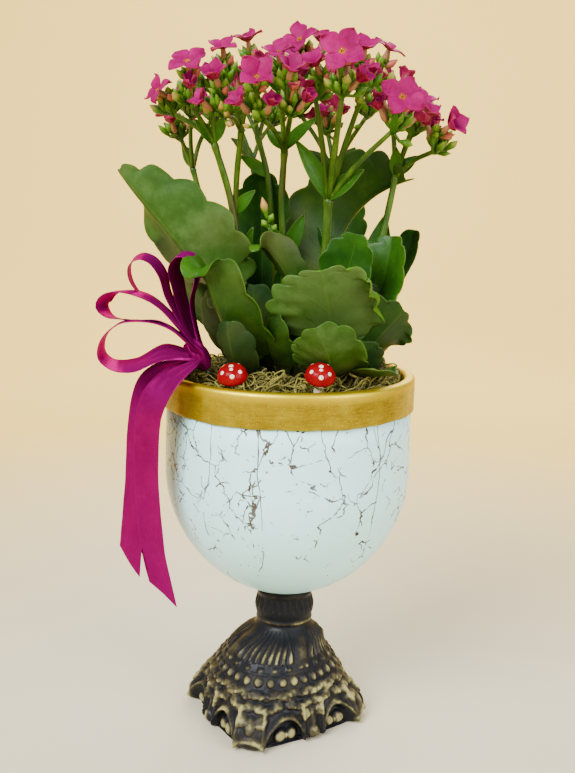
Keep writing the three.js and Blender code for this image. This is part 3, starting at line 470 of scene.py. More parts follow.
def makeGoldPaint():
    material, tree, shader = newMaterial("goldPaint", **{"Specular IOR Level": 0.2})
    brushed = noise(tree, objectPlace(tree, (14, 14, 170)), 9.0, 4.0, 0.65)
    flakes = noise(tree, objectPlace(tree), 1500.0, 1.0)
    value = weighed(tree, brushed, 0.6, mottled(tree, 70.0, 1.2), 0.4)
    color = ramp(tree, value, [
        (0.2, (0.19, 0.115, 0.003)),
        (0.5, (0.31, 0.235, 0.005)),
        (0.8, (0.46, 0.39, 0.012)),
    ])
    color = blendColors(tree, span(tree, flakes, 0.66, 0.74), color, (0.6, 0.52, 0.06))
    # A painted highlight: the rounded top of the lip is painted a brighter yellow gold. It is also made more
    # metallic and a little rougher
    onLip = span(tree, heightOf(tree), 0.1965, 0.2005)
    color = tint(tree, color, onLip, 0.85, (0.66, 0.50, 0.001))
    tree.links.new(span(tree, onLip, 0.0, 1.0, 0.8, 0.95), shader.inputs["Metallic"])
    rough = plus(tree, span(tree, value, 0.2, 0.8, 0.46, 0.3), times(tree, onLip, 0.08))
    connect(tree, shader, color, bump(tree, plus(tree, brushed, flakes), 0.2, 0.0003), rough)
    return material


def makeBowl():
    # the oval cup, a nearly upright wall, the neck and the hollow inside, as one profile turned round Z
    outside = cupProfile(bowlShape["radius"], bowlShape["middle"], bowlShape["depth"], bowlShape["rows"])
    wall = [(bowlShape["radius"], 160.0), (69.0, 173.0), bowlShape["neck"], (66.0, 184.6)]
    radius, depth = bowlShape["hollow"]
    inside = cupProfile(radius, bowlShape["middle"], depth, 24)[::-1]
    profile = np.vstack([outside, wall, [(radius, 184.4)], inside])
    rings = turnedRings(profile, bowlShape["columns"])
    addPiece("glazedBowl", [patch(rings)], [makeGlaze()], ["goblet_bowl"])


def arc(centre, radius, first, last, steps):
    # points of an arc from the first to the last angle, in degrees
    angle = np.radians(np.linspace(first, last, steps))
    return np.stack([centre[0] + radius * np.cos(angle), centre[1] + radius * np.sin(angle)], 1)


def makeGoldBand():
    # a band with rounded top edges turned round Z, whose lower edge wanders by a sum of three sines
    shape = bandShape
    rounding = shape["rounding"]
    low, high = shape["bottom"], shape["top"] - rounding
    profile = np.vstack([
        arc((shape["outside"] - 0.9, low + 0.9), 0.9, -90, 0, 5),
        [(shape["outside"], height) for height in np.linspace(low + 2, high - 1, 8)],
        arc((shape["outside"] - rounding, high), rounding, 0, 90, 9),
        arc((shape["inside"] + rounding, high), rounding, 90, 180, 9),
        [(shape["inside"], 190.0), (63.6, 184.2)],
    ])
    rings = turnedRings(profile, 200)
    azimuth = np.arctan2(rings[..., 1], rings[..., 0])
    wander = np.sin(7 * azimuth) + 0.8 * np.sin(19 * azimuth + 1) + 0.6 * np.sin(43 * azimuth + 2)
    rings[..., 2] += shape["unevenness"] * wander * (rings[..., 2] < low + 1.5) * 0.5
    addPiece("goldBand", [patch(rings, looped=True)], [makeGoldPaint()], ["goblet_bowl"])


# The foot: a cast scroll base. Its form is a radius by azimuth and height, with the carving added to it

footShape = {
    "firstCorner": -13.0,
    "columns": 440,
    "rows": 180,
    "stretch": 0.05,  # longer towards two of the corners
    "shift": (-4.0, -1.0),  # of the wide part from the neck's axis
    "seat": (15.3, 75.9, 73.9),  # radius, height and floor of the place where the bowl sits
}
footRows = [
    # height, radius towards a corner, radius towards a post
    (0, 48.5, 41),
    (3, 52.5, 44),
    (9, 53, 43),
    (14, 50.5, 41.5),
    (18, 47, 40.5),
    (23, 42.5, 39),
    (29, 38.5, 36),
    (34, 34.8, 33.4),
    (40, 30.2, 30),
    (47, 24.4, 24.4),
    (52, 18.3, 18.3),
    (56.5, 15.4, 15.4),
    (64, 17, 17),
    (72, 15.4, 15.4),
    (75.9, 15.3, 15.3),
]
archShape = {"halfWidth": 14.0, "height": 16.0, "recess": 4.2, "rim": 2.2, "rimWidth": 0.11}
beadShape = {"count": 34, "height": 32.6, "radius": 2.3, "relief": 1.7}
fluteShape = {"width": 7.5, "bottom": 40.5, "top": 54.0, "relief": 1.5}
footRings = [
    # height, half width, relief and rubbed paint of each raised ring
    (35.9, 0.6, 0.5, 0.0),
    (57.6, 1.1, 0.9, 0.4),
    (73.6, 1.1, 0.7, 0.12),
]
footBosses = [
    # degrees from a corner, height, radius along, radius upright, and relief of each leafy boss
    (0, 26.8, 3.6, 2.0, 1.6),
    (7.5, 26.0, 2.6, 1.6, 1.3),
    (14, 27.2, 3.0, 1.7, 1.4),
    (22.5, 26.2, 3.4, 2.2, 1.7),
    (31, 27.2, 3.0, 1.7, 1.4),
    (38, 26.0, 2.6, 1.6, 1.3),
    (45, 26.8, 3.6, 2.0, 1.6),
    (3.5, 21.6, 2.6, 2.2, 1.7),
    (10.5, 20.4, 3.2, 2.0, 1.5),
    (17.5, 21.8, 2.4, 2.4, 1.6),
    (27.5, 21.8, 2.4, 2.4, 1.6),
    (34.5, 20.4, 3.2, 2.0, 1.5),
    (41.5, 21.6, 2.6, 2.2, 1.7),
    (6.5, 15.8, 3.0, 2.6, 1.7),
    (0, 14.0, 2.2, 3.2, 1.4),
    (38.5, 15.8, 2.4, 2.8, 1.5),
    (18.6, 6.2, 3.3, 3.3, 3.0),
    (26.8, 6.0, 3.0, 3.0, 2.8),
    (45, 4.5, 3.2, 3.2, 2.0),
]


def bossOf(distance, radius, relief):
    # a dome: the square root of one less the squared distance
    return relief * np.sqrt(np.clip(1 - (distance / radius) ** 2, 0, 1))


def footCarving(azimuth, height, radius):
    # relief of the carving over the plain form, and how much more than that the rubbed paint shows, both
    # for arrays of azimuth in degrees, height and plain radius
    fromCorner = (azimuth - footShape["firstCorner"] + 45) % 90 - 45
    turn = np.abs(fromCorner)
    arcLength = radius * np.pi / 180  # of one degree
    archCarved, archRubbed, reach, inside = archCarving(turn, height)
    beadTurn = (azimuth - footShape["firstCorner"]) % (360 / beadShape["count"])
    beadTurn = np.minimum(beadTurn, 360 / beadShape["count"] - beadTurn)
    away = np.hypot(beadTurn * arcLength, height - beadShape["height"])
    bead = bossOf(away, beadShape["radius"], beadShape["relief"])
    # the row of small scrolls over the beads, 26 of them round the foot
    scroll = np.cos(np.radians(fromCorner * 26)) * ridge(height, 37.6 + 0.02 * turn, 0.9)
    carved = archCarved + bead + 1.1 * scroll.clip(0) ** 0.5
    rubbed = archRubbed + 0.14 * bead + 0.5 * scroll.clip(0)
    for part in (fluteCarving(fromCorner, turn, height), bossCarving(turn, height, arcLength, inside)):
        carved = carved + part[0]
        rubbed = rubbed + part[1]
    # the crowded leaf work between the arches and the beads: crossing waves bent by slower ones
    bent = np.sin(np.radians(fromCorner * 19) + 1.5 * np.sin(height * 0.6))
    leafWork = bent * np.cos(height * 0.9 + np.sin(turn * 0.4))
    crowded = between(height, 11, 15, 28.5, 30.5) * (1 - inside) * ease(reach, 0.12, 0.3)
    # a crescent at each corner's foot, a strap up each post, a paw at each corner and grooves round the neck
    crescent = ridge(np.hypot(fromCorner * arcLength / 1.25, height - 1.0), 6.0, 1.2) * (height > 1.0)
    strap = ridge((turn - 45) * arcLength, 0, 2.2) * between(height, 5, 8, 17, 20)
    paw = np.clip(1 - (fromCorner * arcLength / 10.5) ** 2, 0, 1) ** 0.5 * (1 - ease(height, 8, 16))
    grooves = np.cos(np.radians(azimuth * 26)) * between(height, 64, 66, 70, 72)
    carved += 0.35 * crowded * leafWork + 1.9 * crescent + 1.4 * strap + 1.5 * paw + 0.4 * grooves
    rubbed += 0.1 * crowded * (leafWork + 1) + 0.1 * grooves.clip(0)
    for level, halfWidth, relief, worn in footRings:
        ring = ridge(height, level, halfWidth)
        carved += relief * ring
        rubbed += worn * ring
    return carved, rubbed


def archCarving(turn, height):
    # an arch to each side of a corner: a recess with a raised rim, whose legs keep their dark paint
    halfWidth, top = archShape["halfWidth"], archShape["height"]
    fromArch = np.abs(turn - 22.5)
    crown = np.sqrt(np.clip(1 - (fromArch / halfWidth) ** 2, 0, 1)) * top
    reach = np.where(fromArch < halfWidth, (height - crown) / top, 1)
    edge = np.minimum(np.abs(reach), np.abs(fromArch - halfWidth) / halfWidth * 1.2)
    inside = 1 - ease(reach, -0.2, -0.05)
    nearArch = (height < top * 1.4) & (fromArch < halfWidth * 1.25)
    legs = ridge((fromArch - halfWidth) / halfWidth, 0, 0.12) * nearArch
    rim = ridge(edge, 0, archShape["rimWidth"]) * nearArch
    return archShape["rim"] * rim - archShape["recess"] * inside, -0.4 * legs * (height < top), reach, inside


def fluteCarving(fromCorner, turn, height):
    # a fan of flutes over each corner with a raised edge, and a lobe between two fans
    low, high = fluteShape["bottom"], fluteShape["top"]
    edgeTurn = 33 - 9 * ease(height, low, high)
    flute = np.abs(np.cos(np.radians(fromCorner / fluteShape["width"] * 180))) ** 0.8
    fan = between(height, low - 0.8, low + 0.8, high - 4, high) * (turn < edgeTurn)
    carved = fluteShape["relief"] * (flute - 0.45) * fan
    carved = carved + 1.1 * ridge(turn, edgeTurn, 1.6) * between(height, low, low + 1, 50, 53)
    lobe = np.clip(1 - ((turn - 45) / 10) ** 2, 0, 1) * between(height, low - 2, low + 3, 46, 54)
    rubbed = 0.75 * (flute ** 2 - 0.3) * fan * (1 - ease(height, low + 1.5, high - 3))
    return carved + 1.6 * lobe, rubbed


def bossCarving(turn, height, arcLength, inside):
    # the domes of the bosses. Those inside an arch have rubbed paint
    carved, rubbed = 0 * turn, 0 * turn
    for degrees, level, wide, tall, relief in footBosses:
        away = np.hypot((turn - degrees) * arcLength / wide, (height - level) / tall) / 1.25
        boss = bossOf(away, 1.0, relief * 1.15)
        carved = carved + boss
        rubbed = rubbed + 0.45 * boss * inside
    return carved, rubbed


def makeCast():
    material, tree, shader = newMaterial("darkCast", **{"Specular IOR Level": 0.16})
    patina = mottled(tree, 95.0, 1.5)
    worn = weighed(tree, patina, 0.6, mottled(tree, 22.0, 1.3), 0.4)
    raised = plus(tree, mark(tree, "relief"), times(tree, calc(tree, "SUBTRACT", worn, 0.54), 1.1))
    color = ramp(tree, raised, [
        (0.05, (0.005, 0.0055, 0.008)),
        (0.40, (0.018, 0.0145, 0.0095)),
        (0.66, (0.062, 0.052, 0.023)),
        (1.0, (0.28, 0.25, 0.10)),
    ])
    grain = bump(tree, noise(tree, objectPlace(tree), 700.0, 3.0), 0.3, 0.0004)
    connect(tree, shader, color, grain, span(tree, patina, 0.2, 0.8, 0.36, 0.55))
    return material


def makeFoot():
    # the plain radius lies between the post's curve and the corner's by the square of a raised cosine of four
    # times the azimuth. The carving is added to it, and low down the whole is stretched and shifted
    shape = footShape
    table = np.array(footRows, float)
    dense = [curveThrough(table[:, [column, column, 0]], 600)[0] for column in (1, 2)]
    height = np.linspace(0, shape["seat"][1], shape["rows"])[:, None]
    corner, post = [np.interp(height, curve[:, 2], curve[:, 0]) for curve in dense]
    azimuth = np.linspace(0, 360, shape["columns"], endpoint=False)[None]
    turned = np.radians(azimuth - shape["firstCorner"])
    plain = mix(post, corner, ((1 + np.cos(4 * turned)) / 2) ** 2)
    carved, rubbed = footCarving(azimuth, height, plain)
    low = 1 - ease(height, 40, 54)
    radius = plain * (1 + shape["stretch"] * low * np.cos(2 * turned))
    radius = radius + carved * between(height, 0, 1.5, 74.6, 75.6)
    angle = np.radians(azimuth)
    right, back = shape["shift"]
    rings = np.stack([
        radius * np.sin(angle) + right * low,
        back * low - radius * np.cos(angle),
        height + 0 * angle,
    ], -1)
    relief = np.clip(carved / 3.0 + rubbed, -0.6, 1.0)
    seatRadius, _, seatFloor = shape["seat"]
    seatRadius = seatRadius * 0.9
    seat = np.stack([seatRadius * np.sin(angle), -seatRadius * np.cos(angle), seatFloor + 0 * angle], -1)
    rings = np.vstack([rings, seat])
    relief = np.vstack([relief, relief[-1:] * 0])
    addPiece("scrollFoot", [patch(rings, relief=relief)], [makeCast()], ["pedestal_foot"])


makeBowl()
makeGoldBand()
makeFoot()
print("pot made")


# Shells from middle surfaces, and forms that are set on a line

def shell(middle, half):
    # two faces round a middle surface. Its rows run forwards and its columns from the right edge to the left
    # one, and half is half the thickness at each point, which is nothing at the two edges
    normal = unit(np.cross(np.gradient(middle, axis=1), np.gradient(middle, axis=0)))
    upper = middle + normal * half[..., None]
    lower = middle - normal * half[..., None]
    return np.concatenate([upper, lower[:, -2:0:-1]], 1)


def shellMarks(columns, along):
    # the marks across, under and along of such a shell. along holds one value for each row
    place = acrossPlaces(columns)[0]
    across = np.tile(np.concatenate([place, place[-2:0:-1]]), (len(along), 1))
    under = np.concatenate([np.zeros(columns), np.ones(columns - 2)])
    under[[0, columns - 1]] = 0.5
    return {"across": across, "under": np.tile(under, (len(along), 1)), "along": along + 0 * across}


def spun(points, angle):
    # turned round the Z axis
    x, y = points[..., 0], points[..., 1]
    cosine, sine = math.cos(angle), math.sin(angle)
    return np.stack([x * cosine - y * sine, x * sine + y * cosine, points[..., 2]], -1)


def setOn(points, origin, axis, roll=0.0):
    # points made round the Z axis at zero, turned so that Z points along axis and moved to origin
    axis = unit(axis)
    side = unit(np.cross(upward if abs(axis[2]) < 0.95 else np.array([0, 1.0, 0]), axis))
    return np.asarray(origin, float) + spun(points, roll) @ np.stack([side, np.cross(axis, side), axis])


# Soil and moss

mossShape = {
    "radius": 63.0,
    "bottom": 188.3,
    "crown": 193.5,
    "edge": 199.0,
    "mounds": [(-3, -46, 17, 12), (43, -32, 15, 16)],  # places of two heaps, and their reach
    "strands": 1300,
    "steps": 18,
    "thickness": (0.36, 0.7),
    "seed": 7,
}


def mossHeight(x, y):
    # it rises from the middle with the square of the radius, with humps of sine waves and two bell curves
    share = np.hypot(x, y) / mossShape["radius"]
    humps = np.sin(x * 0.31 + 1.3) * np.cos(y * 0.27) + np.sin(x * 0.17 - y * 0.23 + 0.6)
    height = mix(mossShape["crown"], mossShape["edge"], share ** 2) + 1.3 * humps
    for right, back, wide, deep in mossShape["mounds"]:
        height = height + 7 * ridge(x, right, wide) * ridge(y, back, deep)
    return height


def makeMossSkin():
    material, tree, shader = newMaterial("dryMoss", Roughness=0.85)
    value = weighed(tree, mottled(tree, 120.0, 1.3), 0.5, mark(tree, "tone"), 0.5)
    color = ramp(tree, value, [
        (0.1, (0.02, 0.014, 0.003)),
        (0.35, (0.085, 0.07, 0.009)),
        (0.6, (0.17, 0.15, 0.02)),
        (0.9, (0.34, 0.29, 0.055)),
    ])
    connect(tree, shader, color, bump(tree, noise(tree, objectPlace(tree), 900.0), 0.4, 0.0004))
    return material


def mossStrands():
    # thin three-sided strands that wander over the mat, each with a heading that swings at every step
    random = np.random.default_rng(mossShape["seed"])
    count, steps = mossShape["strands"], mossShape["steps"]
    angle = random.uniform(0, 2 * np.pi, count)
    radius = 59.5 * random.uniform(0.12, 1, count) ** 0.42
    heading = random.uniform(0, 2 * np.pi, count)
    swing = random.normal(0, 0.42, count)[:, None] + random.normal(0, 0.24, (count, steps)).cumsum(1) * 0.4
    heading = heading[:, None] + np.cumsum(swing, 1)
    stride = random.uniform(1.0, 1.9, count)[:, None]
    x = (radius * np.cos(angle))[:, None] + np.cumsum(np.cos(heading) * stride, 1)
    y = (radius * np.sin(angle))[:, None] + np.cumsum(np.sin(heading) * stride, 1)
    drawnIn = np.minimum(1, 61.5 / np.maximum(np.hypot(x, y), 1e-6))
    x, y = x * drawnIn, y * drawnIn
    arch = np.sin(np.pi * shares(steps))[None] ** 0.7
    lift = (0.3 + 9 * random.uniform(0, 1, count) ** 2.2)[:, None] * arch
    curl = 0.9 * np.sin(9 * shares(steps)[None] + angle[:, None] * 9)
    paths = np.stack([x, y, mossHeight(x, y) - 0.9 + lift + curl * arch], -1)
    width = random.uniform(*mossShape["thickness"], count)[:, None] * (0.55 + 0.45 * arch)
    tangents = unit(np.gradient(paths, axis=1))
    side = unit(np.cross(tangents, upward))
    up = np.cross(tangents, side)
    return [
        patch(around(*strand, 3), tone=random.uniform(0.15, 1.0)) for strand in zip(paths, side, up, width)
    ]


def makeMoss():
    # the mat is a turned profile with the height of the moss and small crossed waves on it
    under = [(0.5, 0), (40, 0), (62.2, 0), (62.8, 3)]
    rings = turnedRings(under + [(radius, 0) for radius in np.linspace(62.6, 0.5, 48)], 160)
    lower, upper = rings[:len(under)], rings[len(under):]
    x, y = upper[..., 0], upper[..., 1]
    rough = np.sin(x * 1.9 + 2 * np.sin(y * 0.9)) * np.sin(y * 2.1 + 2 * np.sin(x * 0.7))
    lower[..., 2] += mossShape["bottom"]
    upper[..., 2] = mossHeight(x, y) - 1.6 + 0.9 * rough
    # The mat is dark, darker in its hollows and lighter on its bumps: painted shade in the gaps between the
    # strands
    tone = np.full(rings.shape[:2], 0.26)
    tone[len(under):] += 0.3 * ease(rough, -0.2, 0.8)
    patches = [patch(rings, tone=tone), *mossStrands()]
    addPiece("mossBed", patches, [makeMossSkin()], ["moss_bed"])


def makeSoil():
    stops = [(0.2, (0.012, 0.008, 0.005)), (0.6, (0.05, 0.03, 0.017)), (0.9, (0.13, 0.09, 0.055))]
    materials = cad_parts["potting_soil"].data.materials
    materials.clear()
    materials.append(plainMaterial("pottingSoil", 260.0, 1.4, stops, (0.8, 0.001), Roughness=0.95))


makeSoil()
makeMoss()
print("soil and moss made")


# The large leaves: the same rule as the model's, with scalloped margins, veins and a thinner edge

leafShape = {
    "rows": (10, 88),  # along the petiole and along the blade
    "columns": 23,
    "lobeDepth": 0.068,
    "petioleShare": 0.2,
    "petioleWidth": 2.3,
    "thickness": 0.75,
    "petioleThickness": 1.5,
    "veins": (6.0, 1.7),  # their number along the blade, and their slant
}
leaves = [
    # name, spine, the way it faces, width, lobes, degrees its halves are folded by, cup, widest place,
    # taper and tone, from -1 for dark bluish to 1 for light yellow. The tone is partly the leaf's own hue and
    # partly painted light and shade: each leaf is made lighter or darker for how it is lit
    ("back_left_tall", [(-23, -6, 226), (-50, -20, 262), (-91, -25, 311)],
     (0.1, 1, 0.1), 70, 7, (80, 4), 0.25, 0.42, 0.6, 0.4),
    ("front_left", [(-20, -8, 201), (-35, -42, 239), (-46, -47, 273)],
     (0.4, 0.8, 0.4), 49, 6, (50, 8), 0.3, 0.4, 0, 0.1),
    ("left_low", [(-31, 25, 208), (-46, 18, 234), (-64, 13, 263)],
     (0.3, 0.8, 0.5), 42, 6, (15, 15), 0.4, 0.55, 0, -0.3),
    ("front_left_small", [(-20, -9, 196), (-27, -40, 213), (-31, -50, 236)],
     (0.2, 0.9, 0.3), 25, 4, (30, 10), 0.4, 0.6, 0, -1.0),
    ("front_middle_narrow", [(-1, -5, 200), (-9, -32, 220), (-9, -42, 243)],
     (0.9, 0.4, 0.2), 26, 5, (30, 30), 0.3, 0.55, 0, -0.2),
    ("front_broad", [(18, -18, 208), (21, -43, 234), (16, -64, 264)],
     (0, 0.75, 0.65), 63, 8, (4, 12), 0.25, 0.5, 0, 0.95),
    ("front_low", [(18, -18, 200), (22, -50, 215), (14, -67, 236)],
     (0, 0.7, 0.7), 40, 6, (10, 10), 0.2, 0.5, 0, 0.6),
    ("right_low", [(37, -11, 204), (45, -28, 224), (60, -33, 242)],
     (-0.3, 0.8, 0.5), 44, 6, (10, 10), 0.3, 0.55, 0, -0.4),
    ("right_lowest", [(37, -12, 195), (44, -40, 208), (56, -53, 211)],
     (-0.1, 0.3, 0.95), 22, 4, (10, 10), 0.3, 0.55, 0, -0.3),
    ("middle_upright", [(18, -18, 228), (29, -26, 258), (34, -31, 281)],
     (-0.3, -0.9, 0.3), 30, 5, (10, 10), 0.3, 0.6, 0, -0.2),
    ("right_upright", [(40, -13.5, 214), (49, -14.5, 252), (54, -12.5, 279.5)],
     (-0.5, -0.8, 0.2), 34, 5, (20, 10), 0.3, 0.6, 0, 0.3),
    ("right_back", [(15, 33, 206), (56, 42, 250), (71, 44, 281)],
     (-0.6, -0.7, 0.4), 30, 5, (20, 20), 0.3, 0.6, 0, -0.3),
    ("right_tall", [(18, -15, 237), (29, 7, 284), (60, -7, 309)],
     (-0.25, 0.9, 0.2), 74, 8, (2, 62), 0.25, 0.5, 0.35, -0.25),
    ("middle_back_tall", [(-16, 5, 206), (-18, 22, 270), (-20, 16, 312)],
     (0.1, -0.95, 0.2), 42, 6, (15, 15), 0.3, 0.5, 0, -0.2),
    ("middle_curled", [(-2, -4, 232), (0, -22, 254), (-17, -28, 277)],
     (0.3, 0.8, 0.5), 24, 4, (30, 30), 0.4, 0.55, 0, 0.2),
    ("rear_left", [(-31, 25, 212), (-48, 50, 246), (-62, 64, 284)],
     (0.5, -0.7, 0.4), 48, 6, (12, 12), 0.3, 0.55, 0, 0.0),
    ("rear_middle", [(-15, 35, 204), (-10, 56, 236), (-6, 72, 270)],
     (0, -0.8, 0.6), 50, 6, (8, 12), 0.3, 0.55, 0, 0.2),
    ("rear_right", [(17, 36, 203), (32, 58.5, 228), (44, 70, 256.5)],
     (-0.4, -0.7, 0.6), 46, 6, (14, 8), 0.3, 0.55, 0, -0.2),
    ("rear_low", [(-15, 35, 198), (-34, 54, 212), (-44, 60, 232)],
     (0.4, -0.6, 0.7), 36, 5, (10, 10), 0.3, 0.55, 0, -0.3),
    ("rear_tall", [(16, 36, 230), (22, 62, 268), (30, 68, 304)],
     (-0.1, -0.9, 0.4), 42, 6, (10, 20), 0.3, 0.55, 0, 0.1),
]
innerLeaves = [
    # small leaves that fill the middle, with a dark tone that is painted shade deep in the plant, in the same
    # order, made with the piece of the node named first
    ("middle_curled", [(2, -8, 196), (4, -20, 218), (6, -24, 246)],
     (0.1, 0.9, 0.3), 34, 5, (15, 15), 0.3, 0.55, 0, -0.9),
    ("middle_curled", [(-6, -2, 196), (-16, -12, 222), (-20, -16, 252)],
     (0.2, 0.9, 0.3), 32, 5, (15, 15), 0.3, 0.55, 0, -0.9),
    ("middle_curled", [(-4, 4, 226), (4, 8, 250), (8, 6, 284)],
     (-0.1, -0.9, 0.3), 32, 5, (12, 12), 0.3, 0.55, 0, -0.6),
    ("right_upright", [(30, -8, 200), (34, -20, 228), (40, -22, 256)],
     (-0.1, 0.9, 0.3), 34, 5, (15, 15), 0.3, 0.55, 0, -0.9),
    ("right_low", [(28, -14, 196), (36, -30, 208), (40, -40, 226)],
     (0.0, 0.9, 0.4), 28, 5, (15, 15), 0.3, 0.55, 0, -0.8),
    ("left_low", [(-26, 8, 198), (-36, -2, 222), (-42, -8, 248)],
     (0.3, 0.9, 0.3), 30, 5, (15, 15), 0.3, 0.55, 0, -0.9),
]


tipCurls = {
    # share of the spine where the curl begins, its length, and degrees: below zero towards the underside
    "front_left": (0.84, 11.0, -165),
    "middle_curled": (0.88, 8.0, -130),
}
marginCurls = {
    # side of the leaf, its stretch from and to as shares of the blade, share across where it begins, degrees
    "back_left_tall": [(-1, 0.28, 0.66, 0.0, -62)],
    "front_broad": [(1, 0.42, 0.72, 0.62, -150)],
    "front_left": [(1, 0.35, 0.7, 0.7, -70)],
    "front_low": [(1, 0.3, 0.6, 0.6, -60)],
    "right_low": [(1, 0.4, 0.75, 0.7, -70)],
    "left_low": [(-1, 0.3, 0.7, 0.6, -60)],
}


def leafSpine(spine, share):
    # points and directions at shares of the length of a curve of the second degree through three points
    base, middle, tip = np.array(spine, float)
    bend = 2 * middle - 0.5 * base - 0.5 * tip
    step = np.linspace(0, 1, 400)[:, None]
    dense = (1 - step) ** 2 * base + 2 * step * (1 - step) * bend + step ** 2 * tip
    run = np.concatenate([[0], np.cumsum(np.linalg.norm(np.diff(dense, axis=0), axis=1))])
    at = np.interp(share * run[-1], run, step[:, 0])[..., None]
    points = (1 - at) ** 2 * base + 2 * at * (1 - at) * bend + at ** 2 * tip
    return points, unit((1 - at) * (bend - base) + at * (tip - bend)), run[-1]


def leafLine(name, spine, faces, share):
    # points, directions, sides and upward directions at shares of the leaf's length. A curled tip leaves the
    # spine at its bend and runs on as an arc about the side direction there
    length = leafSpine(spine, np.array([1.0]))[2]
    bend, extra, degrees = tipCurls.get(name, (1.0, 0.0, 0.0))
    total = bend * length + extra
    run = share * total
    points, tangents, _ = leafSpine(spine, np.minimum(run / length, bend))
    side = unit(np.cross(np.array(faces, float), tangents))
    up = np.cross(tangents, side)
    if extra:
        turn = np.radians(degrees)
        angle = np.clip((run / length - bend) * length / extra, 0, 1)[..., None] * abs(turn)
        towards = up * np.sign(turn)
        radius = extra / abs(turn)
        points = points + radius * (tangents * np.sin(angle) + towards * (1 - np.cos(angle)))
        tangents = tangents * np.cos(angle) + towards * np.sin(angle)
        up = np.cross(tangents, side)
    return points, tangents, side, up, total


def summed(values, distance):
    # the running sum of values over distance, outwards from the middle column on both sides
    middle = distance.shape[1] // 2
    result = np.zeros_like(distance)
    for side in (slice(middle, None, -1), slice(middle, None)):
        steps = np.diff(distance[:, side], axis=1) * (values[:, side][:, 1:] + values[:, side][:, :-1]) / 2
        result[:, side] = np.concatenate([np.zeros((len(distance), 1)), np.cumsum(steps, 1)], 1)
    return result


def leafSurface(leaf, t, v):
    # t runs from -1 at the foot of the petiole over 0 to 1 at the tip, and v from 1 to -1 across. The half
    # width is an oval, a sine to a power, with the lobes added. The blade is laid out from its midrib by
    # running sums of the cosine and sine of its turn, which is the fold, the cup and the margin's curl
    # together, and sine waves raise it along its length and towards its margins
    name, spine, faces, width, lobes, folds, cup, widest, taper, _ = leaf
    half = width / 2
    onBlade = np.clip(t, 0, 1)
    angle = np.pi * onBlade
    reach = ((1 - np.cos(angle)) / 2) ** (np.log(widest) / np.log(0.5))
    oval = np.sin(angle).clip(0) ** 0.85 * (1 - taper * onBlade ** 2)
    uneven = 1 + 0.3 * np.sin(5.1 * onBlade * lobes + 3 * np.sign(v) + width) * np.abs(v)
    lobe = (np.abs(np.sin(np.pi * lobes * onBlade)) ** 0.7 - 0.6) * leafShape["lobeDepth"] * width * uneven
    growing = ease(t, 0.04, 0.2)
    least = leafShape["petioleWidth"] * (1 - ease(t, 0.86, 1.0))
    across = np.maximum(least, half * oval + lobe * growing * np.sin(angle))
    length = leafLine(name, spine, faces, np.array([1.0]))[4]
    petiole = leafShape["petioleShare"]
    bladeLength = length * (1 - petiole)
    ahead = bladeLength * reach - lobe * growing * np.cos(angle) * v ** 2
    share = np.where(t < 0, petiole * (1 + t), petiole + ahead / bladeLength * (1 - petiole))
    along = np.clip(share, 0, 1)
    centre, tangent, side, up, _ = leafLine(name, spine, faces, along)
    opened = ease(t, 0, 0.25)
    turned = np.radians(np.where(v < 0, folds[0], folds[1])) * opened
    distance = np.abs(across * v)
    turned = turned + cup * opened / half * distance
    for sign, low, high, start, degrees in marginCurls.get(name, []):
        window = between(t, low - 0.12, low + 0.08, high - 0.08, high + 0.12)
        turned = turned + np.radians(degrees) * window * ease(np.abs(v), start, 1.0) * (np.sign(v) == sign)
    outward, raised = summed(np.cos(turned), distance), summed(np.sin(turned), distance)
    bladeOnly = opened * np.sin(angle)
    wave = 0.055 * width * np.sin(9 * t + 2 * lobes) * v ** 3 * bladeOnly
    ripple = 0.009 * width * np.sin(2 * np.pi * lobes * onBlade + 3 * v) * v ** 2 * bladeOnly
    curled = 0.011 * width * np.sin(23 * onBlade + 2 * np.sign(v) + width) * v ** 4 * bladeOnly
    veinCount, slant = leafShape["veins"]
    vein = np.sin(2 * np.pi * (veinCount * onBlade - slant * np.abs(v) ** 0.8))
    quilted = 0.35 * vein * np.abs(v) * (1 - v ** 2) * bladeOnly
    raised = raised + wave + ripple + curled + quilted
    middle = centre + tangent * ((share - along) * length)[..., None]
    middle = middle + side * (np.sign(v) * outward)[..., None] + up * raised[..., None]
    return middle, across


